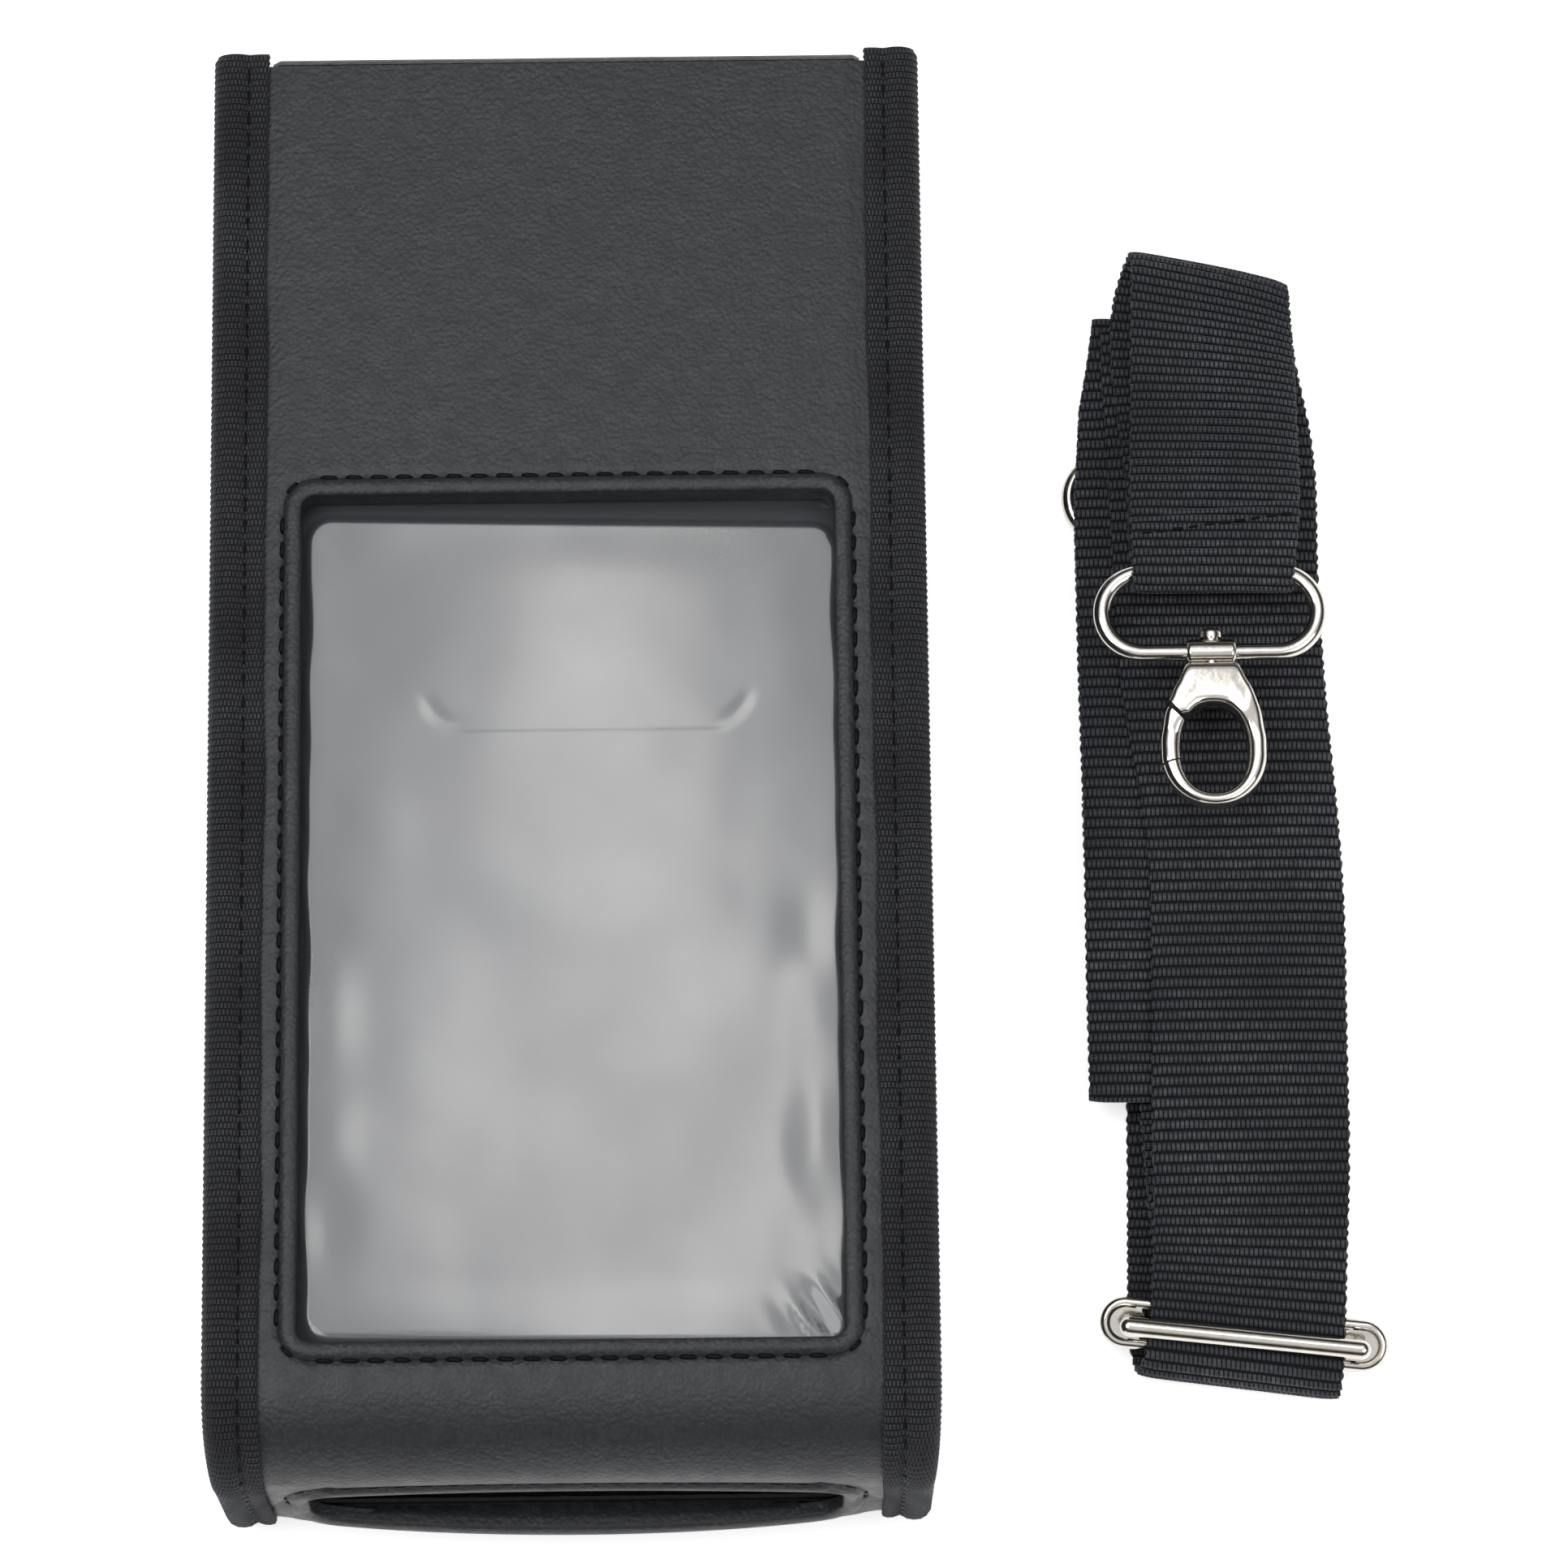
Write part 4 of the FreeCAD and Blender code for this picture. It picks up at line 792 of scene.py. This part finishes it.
# ---- flap and fastener
def flap():
    low, high = cad_box("flap_leather")
    bend, corner = 3.0, 8
    depth = FRONT - low[2] - 2 * bend
    arc = bend * math.pi / 2
    first = bend * math.asin((TOP + 0.3 - high[1] + bend) / bend)
    face = arc - first
    tail = face + depth + arc
    end = tail + high[1] - bend - low[1]

    def place(a, s, h):
        turn = np.clip((s + first) / bend, 0, math.pi / 2)
        y = high[1] - bend + (bend + h) * np.sin(turn)
        z = FRONT - bend + (bend + h) * np.cos(turn)
        z = np.where(s > face, FRONT - bend - (s - face), z)
        y = np.where(s > face, high[1] + h, y)
        turn = np.clip((s - face - depth) / bend, 0, math.pi / 2)
        past = s > face + depth
        y = np.where(past, high[1] - bend + (bend + h) * np.cos(turn), y)
        z = np.where(past, low[2] + bend - (bend + h) * np.sin(turn), z)
        y = np.where(s > tail, high[1] - bend - (s - tail), y)
        narrow = soft_step(s, face + depth * 0.25, tail)
        wide = 39.2 - 3.2 * narrow
        short = corner - np.clip(end - s, 0, corner)
        wide = wide - (corner - np.sqrt(np.maximum(corner ** 2 - short ** 2, 0)))
        return spots(a * wide, y, z)

    def shaped(a, s, h):
        edge = np.minimum((1 - np.abs(a)) * 37, end - s)
        roundness = 0.42 * (1 - soft_step(edge, 0, 0.9))
        seam = 0.16 * hill(edge, 2.6, 0.55) * (s > face)
        body = 0.05 * np.sin(a * 7) * np.sin(s / 9)
        return place(a, s, np.where(h < -0.1, h + roundness, body - roundness - seam))

    side_spots = np.sin(np.linspace(-1, 1, 81) * math.pi / 2)
    rows = np.concatenate([spaced(0, face + depth, 0.7)[:-1],
                           spaced(face + depth, end - corner, 0.7)[:-1],
                           end - corner * (1 - np.sin(np.linspace(0, 1, 16) * math.pi / 2))])
    sheet_piece("flap_skin", shaped, side_spots, rows, 1.15, "flap", LEATHER, ("flap_leather",))
    half = 36.0
    marks = [(k * 33.4 / half, s, (0, 1, 0)) for k in (-1, 1)
             for s in np.arange(tail + 1, end - corner, STITCH)]
    marks += [(x / half, end - 2.6, (1, 0, 0)) for x in np.arange(-24.75, 25, STITCH)]
    centres = [place(np.array(a), np.array(s), np.array(0.0)) for a, s, _ in marks]
    ways = [way for _, _, way in marks]
    stitches("flap_stitches", centres, ways, [(0, 0, -1)] * len(centres), 2.5, 0.26, "flap", 0.34)


flap()


def fuzzy(node, name, body, face, material):
    """A thin plate of hooks, loops or lining; face is the side that shows, along Z or Y."""
    low, high = cad_box(node)
    if face == "y":
        def place(x, z, h):
            lump = 0.05 * np.sin(x * 0.9) * np.sin(z * 0.8)
            return spots(x, low[1] + 0.05 - h * (high[1] - low[1] - 0.1) + lump * (h == 0), z)
        return sheet_piece(name, place, spaced(low[0], high[0], 1.2), spaced(low[2], high[2], 1.2), 1.0,
                           body, material, (node,))
    up = 1 if face == "z" else -1
    base, top = (low[2], high[2]) if up > 0 else (high[2], low[2])

    def place(x, y, h):
        tuft = 0.07 * np.sin(x * 2.9 + np.sin(y * 1.7)) * np.sin(y * 3.1 + np.sin(x * 1.3)) - 0.07
        return spots(x, y, np.where(h == 0, top + up * tuft, base))
    return sheet_piece(name, place, spaced(low[0], high[0], 0.55), spaced(low[1], high[1], 0.55), 1.0,
                       body, material, (node,))


fuzzy("hook_pad", "hook_strip", "flap", "z", HOOKS)
fuzzy("loop_pad", "loop_strip", "case", "-z", HOOKS)
fuzzy("flap_lining", "flap_lining_sheet", "flap", "y", LINING)


# ---- bands that run in the YZ plane
def route(*legs):
    """A dense line from legs: points, or arcs as (y, z, radius, from, to) in degrees."""
    line = []
    for leg in legs:
        if len(leg) == 2:
            line.append(leg)
        else:
            y, z, radius, first, last = leg
            for angle in np.radians(np.linspace(first, last, 25)):
                line.append((y + radius * math.cos(angle), z + radius * math.sin(angle)))
    return np.array(line, float)


def band(name, line, left, right, body, material, skin, pitch=0.0, replaces=(), lift=None,
         skew=0.0, place=None, columns=18, rib_depth=0.24):
    """A closed band along a line; left(y, s) and right(y, s) are its edges across X."""
    gaps = np.hypot(*np.diff(line, axis=0).T)
    length = np.concatenate([[0], np.cumsum(gaps)])
    total = length[-1]
    step = pitch / 6 if pitch else 0.3
    s = np.linspace(0, total, int(total / step) + 1)
    y, z = np.interp(s, length, line[:, 0]), np.interp(s, length, line[:, 1])
    kernel = np.ones(5) / 5
    y[2:-2] = np.convolve(y, kernel, "valid")
    z[2:-2] = np.convolve(z, kernel, "valid")
    ty, tz = np.gradient(y), np.gradient(z)
    size = np.hypot(ty, tz)
    ny, nz = -tz / size, ty / size
    low, high = left(y, s), right(y, s)
    a = np.sin(np.linspace(-1, 1, columns) * math.pi / 2 * 0.98) / math.sin(math.pi / 2 * 0.98)
    across = np.concatenate([a, a[::-1]])[None, :]
    face = np.repeat([1.0, -1.0], columns)[None, :]
    s2, mid, half = s[:, None], ((low + high) / 2)[:, None], ((high - low) / 2)[:, None]
    x = mid + across * half
    thick = skin / 2 * (1 - 0.55 * np.abs(across) ** 14)
    rib = 0
    if pitch:
        phase = 2 * math.pi * (s2 / pitch + skew * (x - mid))
        warp = 0.3 * np.cos(math.pi * np.arange(columns))
        warp = np.concatenate([warp, warp[::-1]])[None, :]
        rib = rib_depth * (1 - 2 * np.abs(np.sin(phase / 2 + 0.25 * warp)) ** 3)
        x = x + 0.11 * np.cos(phase + np.sin(s2 * 1.7)) * across * (np.abs(across) > 0.97)
        x = x + 0.10 * np.sin(s2 / 11 + mid)
    out = face * (thick + rib)
    yy = y[:, None] + ny[:, None] * out
    zz = z[:, None] + nz[:, None] * out
    if lift:
        dy, dz = lift(x, y[:, None], s2 / total, across)
        yy, zz = yy + dy, zz + dz
    points = spots(x, yy, zz).reshape(-1, 3)
    count = 2 * columns
    faces = grid(len(s), count, round_columns=True)
    for at, turn in ((0, 1), (len(s) - 1, -1)):
        strip = [[at * count + k, at * count + k + 1, at * count + count - 2 - k, at * count + count - 1 - k]
                 for k in range(columns - 1)]
        faces += [f[::turn] for f in strip]
    yarn = 0.6 * phase / (2 * math.pi) + 0.3 if pitch else s2
    cloth = np.stack([x + 0 * s2, yarn + 0 * x], axis=-1).reshape(-1, 2)
    if place is not None:
        points = points @ place[0].T + place[1]
    piece = make_piece(name, points, faces, body, material, replaces, cloth=cloth, creased=75)
    return piece, total


def table(*pairs):
    """A smooth function of y through the given (y, x) pairs."""
    at, value = np.array(sorted(pairs), float).T
    return lambda y, s: np.interp(y, at, value)


# ---- strap
PITCH = 1.16
WIDE_PITCH = 1.48
RUN_LEFT = table((-84, 74.9), (-60, 76.2), (-23, 76.9), (-8, 76.9), (20, 73.2), (66, 72.0))
RUN_RIGHT = table((-84, 100.5), (-66, 101.4), (-50, 102.5), (-16, 102.9), (21, 101.0),
                  (30, 100.5), (48, 100.9), (54.5, 99.9), (60, 98.8), (66, 97.8))
BACK_LEFT = table((-84, 72.7), (-60, 72.9), (-20, 74.0), (36, 75))
BACK_RIGHT = table((-84, 99.6), (-60, 99.8), (36, 100.5))


def climb(y, base):
    """The height of a layer that rises slowly towards the fold."""
    return base + 0.02 * (y + 40.6)


def smoothed(edge, reach):
    """The same edge with its jumps spread over reach rows to both sides."""
    def inner(y, s):
        raw = edge(y, s)
        padded = np.concatenate([np.full(reach, raw[0]), raw, np.full(reach, raw[-1])])
        return np.convolve(padded, np.ones(2 * reach + 1) / (2 * reach + 1), "valid")
    return inner


LOWEST = 0.6
FOLD = -77.2


def lower_run():
    top = climb(FOLD, 8.45)
    reach = (top - LOWEST) / 2
    line = route((66.0, climb(66.0, 8.45)), (FOLD, top), (FOLD, LOWEST + reach, reach, 90, 270),
                 (35.7, LOWEST))
    turn = 66.0 - FOLD + reach * math.pi / 2

    def left(y, s):
        return np.where(s < turn, RUN_LEFT(y, s), BACK_LEFT(y, s))

    def right(y, s):
        return np.where(s < turn, RUN_RIGHT(y, s), BACK_RIGHT(y, s))

    def lift(x, y, t, across):
        near = soft_step(-y, 52, 80)
        slant = (1.9 - 0.135 * (x - 87.5)) * near
        upper = t < turn / (turn + reach * math.pi / 2 + 113)
        wave = np.where(upper, 0.22 * np.sin(y / 17) * np.cos(x / 9) + 0.15 * np.sin(y / 7 + x / 13), 0)
        sag = np.where(upper, -0.5 * np.clip(across, 0, 1) ** 3 * soft_step(y, -70, -20), 0)
        return slant, (wave + sag) * soft_step(y, -74, -50)

    piece, total = band("strap_lower_run", line, smoothed(left, 30), smoothed(right, 30), "strap",
                        WEBBING, 1.2, WIDE_PITCH, ("webbing_lower_run",), lift)


def inner_run():
    line = route((-44, 4.6), (33.0, 4.6), (38.7, 2.6, 2.0, 90, -90), (35.7, LOWEST))
    left = table((-44, 75.0), (8, 75.0), (30, 72.6), (42, 72.0))
    right = table((-44, 101.0), (8, 101.0), (30, 93.6), (42, 92.2))
    piece, total = band("strap_inner_run", line, left, right, "strap", WEBBING, 1.15, PITCH,
                        ("webbing_inner_run",))


def rear_layers():
    bend = 0.62
    low = climb(-40.0, 6.0)
    high = climb(66.2, 6.0)
    line = route((-0.2, climb(-0.2, 6.0)), (-40.0, low), (-40.0, low + bend, bend, 270, 90),
                 (-40.0, low + 2 * bend), (66.2, high + 2 * bend), (66.2, high + bend, bend, 90, -90),
                 (66.2, high), (0.4, climb(0.4, 6.0)))
    left = table((-42, 68.2), (0, 68.2), (40, 68.0), (55, 68.9), (68, 71.3))
    right = table((-42, 94.2), (30, 94.4), (68, 96.2))

    def lift(x, y, t, across):
        free = soft_step(76.5 - x, 0, 5)
        gap = 0.35 * free * np.where((t > 0.19) & (t < 0.69), 1, -0.2) * np.sin((y + 41) / 108 * math.pi)
        return 0.10 * (81 - x) * soft_step(y, 60, 67), gap

    piece, total = band("strap_rear_layers", line, left, right, "strap", WEBBING, 1.12, 1.4,
                        ("webbing_rear",), lift)


LOOP_TOP = 69.0


def upper_loop():
    bend = 3.3
    line = route((37.0, 15.4), (29.0, 15.4), (29.0, 17.4, 2.0, 270, 90), (33.0, 19.6), (LOOP_TOP, 19.4),
                 (LOOP_TOP, 16.1, bend, 90, -90), (30.0, 12.8))
    turn = 8 + 2 * math.pi + (LOOP_TOP - 29) + bend * math.pi / 2

    def edge(front, back):
        return smoothed(lambda y, s: np.where(s < turn, front(y, s), back(y, s)), 20)

    left = edge(table((26, 75.3), (36, 74.9), (43, 75.0), (60, 75.6), (73, 76.3)),
                table((30, 75.4), (45, 74.8), (60, 73.2), (68, 73.6), (73, 76.3)))
    right = edge(table((26, 96.6), (36, 97.6), (43, 97.9), (60, 97.8), (73, 97.4)),
                 table((40, 96.5), (60, 96.8), (73, 97.4)))

    def lift(x, y, t, across):
        total = turn + bend * math.pi / 2 + 39
        s = t * total
        front = soft_step(s, 13, 17) * (1 - soft_step(s, turn - 3, turn + 2))
        slant = -0.20 * (x - 86.8) * soft_step(y, 50, 72)
        cup = -2.6 * np.clip(across * 0.5 + 0.5, 0, 1) ** 4 * soft_step(y, 33, 50)
        back_cup = -0.9 * np.clip(across, 0, 1) ** 3 * (1 - front)
        line = y - 37.4 - 0.13 * (x - 87)
        seam = -0.45 * hill(line, 0, 0.55) + 0.55 * (1 - soft_step(line, -0.6, 0.8))
        seam = seam - 0.12 * hill(line, -2.4, 0.4)
        crease = -0.15 * hill(line, -5.2, 0.5)
        return slant, front * (cup + seam + crease) + back_cup

    piece, total = band("strap_upper_loop", line, left, right, "strap", WEBBING, 1.2, PITCH,
                        ("webbing_upper_loop",), lift, skew=0.012)
    xs = np.arange(77.0, 97, 2.1)
    centres = [(x, 34.9 + 0.13 * (x - 87), 20.75) for x in xs]
    stitches("strap_stitches", centres, [(1, 0.13, 0)] * len(xs), [(0, 0, 1)] * len(xs), 1.6, 0.2, "strap",
             0.3)


def slider_loop():
    skew = math.radians(6.5)
    centre = np.array([88.19, -69.88, 5.16])
    turn = np.array([[math.cos(skew), math.sin(skew), 0], [-math.sin(skew), math.cos(skew), 0], [0, 0, 1]])
    line = route((4.2, 0.60), (2.5, 0.64), (1.3, 0.96), (0, 0, 1.3, 62, 298), (1.3, -0.96), (2.5, -0.64),
                 (4.2, -0.60))
    half = lambda sign: (lambda y, s: np.full_like(y, sign * 11.0))
    piece, total = band("strap_slider_loop", line, half(-1), half(1), "slider", WEBBING, 0.88,
                        PITCH, ("slider_webbing",), place=(turn, centre), columns=14, rib_depth=0.05)
    line = route((-43.5, 4.6), (-55, 4.65), (-66.8, 5.16))
    left = table((-67, 77.8), (-58, 75.8), (-43, 75.0))
    right = table((-67, 99.5), (-58, 100.6), (-43, 101.0))
    bridge, total = band("strap_bridge", line, left, right, "strap", WEBBING, 1.1, PITCH,
                         columns=14)
    bridge.parent = None
    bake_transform(bridge)


lower_run()
inner_run()
rear_layers()
upper_loop()
slider_loop()


# ---- D-ring tabs
def dee_tab(side, word):
    low, high = cad_box(f"ring_tab_{word}")
    mid = (low[2] + high[2]) / 2
    line = route((52.2, 41.2), (70.0, 41.25), (73.0, 41.15))
    bend = [(74.0 + 1.68 * math.sin(t), 42.8 - 1.68 * math.cos(t))
            for t in np.linspace(0, math.pi * 0.86, 22)]
    back = [(70.5, 42.55), (67.5, 42.42), (52.4, 42.4)]
    line = np.vstack([line[:-1], bend, back])
    turn = np.array([[0, 0, side], [0, 1, 0], [1, 0, 0]], float)
    half = (high[2] - low[2]) / 2
    piece, _ = band(f"dee_tab_{word}", line, lambda y, s: np.full_like(y, mid - half),
                    lambda y, s: np.full_like(y, mid + half), "case", LEATHER_FINE, 1.05,
                    replaces=(f"ring_tab_{word}",), place=(turn, 0), columns=24)
    marks = [(side * 43.0, y, mid + e) for e in (-6.6, 6.6) for y in np.arange(54.0, 68, 2.8)]
    end_marks = [(side * 43.0, 53.6, mid + e) for e in (-4.2, -1.4, 1.4, 4.2)]
    ways = [(0, 1, 0)] * len(marks) + [(0, 0, 1)] * len(end_marks)
    stitches(f"tab_stitches_{word}", marks + end_marks, ways, [(side, 0, 0)] * len(ways), 2.1, 0.24, "case")


dee_tab(1, "right")
dee_tab(-1, "left")


# ---- hooks
EYE = Vector((0, -13.6))
HOOK_EDGE = [(0, -21.7), (2.0, -21.4), (4.0, -20.4), (5.9, -18.4), (6.9, -16.0), (7.05, -13.6), (6.75, -10.5),
             (5.75, -6.8), (4.5, -4.0), (3.45, -1.85), (1.7, -1.85), (0, -1.85)]
HALF_WIDE, HALF_TALL, SQUARENESS = 4.45, 6.05, 2.3
BOW, GATE = (-71, 222.5), (226.8, 285.8)
RELIEF, RELIEF_SPAN = 0.65, 7.5


def hook_outline():
    """The hook's outer edge as distances from the eye's centre, by angle from the foot."""
    edge = np.array(HOOK_EDGE) - np.array(EYE)
    return np.arctan2(edge[:, 0], -edge[:, 1]), np.hypot(*edge.T)


def hook_piece(name, node, site, turn, body, first, last, tall):
    """A domed length of the hook between two angles, in degrees from the foot, rightwards.

    The bow's inner corner is taken off before the seam, so that the gate's end has room to turn.
    """
    angles = np.radians(np.linspace(first, last, int(abs(last - first) / 2.5) + 2))
    folded = np.abs((angles + math.pi) % (2 * math.pi) - math.pi)
    outer = np.interp(folded, *hook_outline())
    smooth = np.convolve(np.concatenate([outer[:2][::-1], outer, outer[-2:][::-1]]), np.ones(5) / 5, "valid")
    outer = np.where(folded < 2.6, smooth, outer)
    way = np.stack([np.sin(angles), -np.cos(angles)], axis=-1)
    wide, high = np.abs(way[:, 0] / HALF_WIDE), np.abs(way[:, 1] / HALF_TALL)
    inner = (wide ** SQUARENESS + high ** SQUARENESS) ** (-1 / SQUARENESS)
    if last == BOW[1]:
        inner = inner + RELIEF * np.clip((np.degrees(angles) - (last - RELIEF_SPAN)) / RELIEF_SPAN, 0, 1)
    shoulder = soft_step(folded, 1.9, 2.6)
    ring = np.linspace(0, 2 * math.pi, 33)[:-1]
    power = (0.85 - 0.45 * shoulder)[:, None]
    across = np.sign(np.cos(ring)) * np.abs(np.cos(ring)) ** power
    dome = np.sign(np.sin(ring)) * np.abs(np.sin(ring)) ** power
    reach = ((outer + inner) / 2)[:, None] + across * ((outer - inner) / 2)[:, None]
    height = dome * (tall + (2.5 - tall) * shoulder[:, None])
    flat = EYE.x + reach * way[:, :1], EYE.y + reach * way[:, 1:]
    points = spots(site[0] + turn * flat[0], site[1] + turn * flat[1], site[2] + height)
    count = len(ring)
    faces = grid(len(angles), count, round_columns=True)
    faces += [list(range(count)), list(range(len(angles) * count - 1, (len(angles) - 1) * count - 1, -1))]
    return make_piece(name, points.reshape(-1, 3), faces, body, NICKEL, (node,), creased=50)


for word, site, turn in (("front", (85.4, 17.8, 17.4), 1), ("rear", (82.1, 49.9, 2.6), -1)):
    hook_piece(f"hook_{word}_bow", f"hook_body_{word}", site, turn, f"hook_{word}", *BOW, 1.9)
    hook_piece(f"hook_{word}_gate", f"gate_{word}", site, turn, f"hook_{word}_gate", *GATE, 1.5)


# ---- metal and hidden parts of the CAD model
METAL = ("d_ring_", "tab_rivet_", "ring_front", "ring_rear",
         "swivel_pin_", "gate_pin_", "slider_frame", "slider_bar")
for name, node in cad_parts.items():
    finish = None
    if name.startswith("gate_spring_"):
        finish = STEEL
    elif name.startswith(METAL):
        finish = NICKEL
    elif name == "back_board":
        finish = BOARD
    if finish:
        node.data.materials.clear()
        node.data.materials.append(finish)
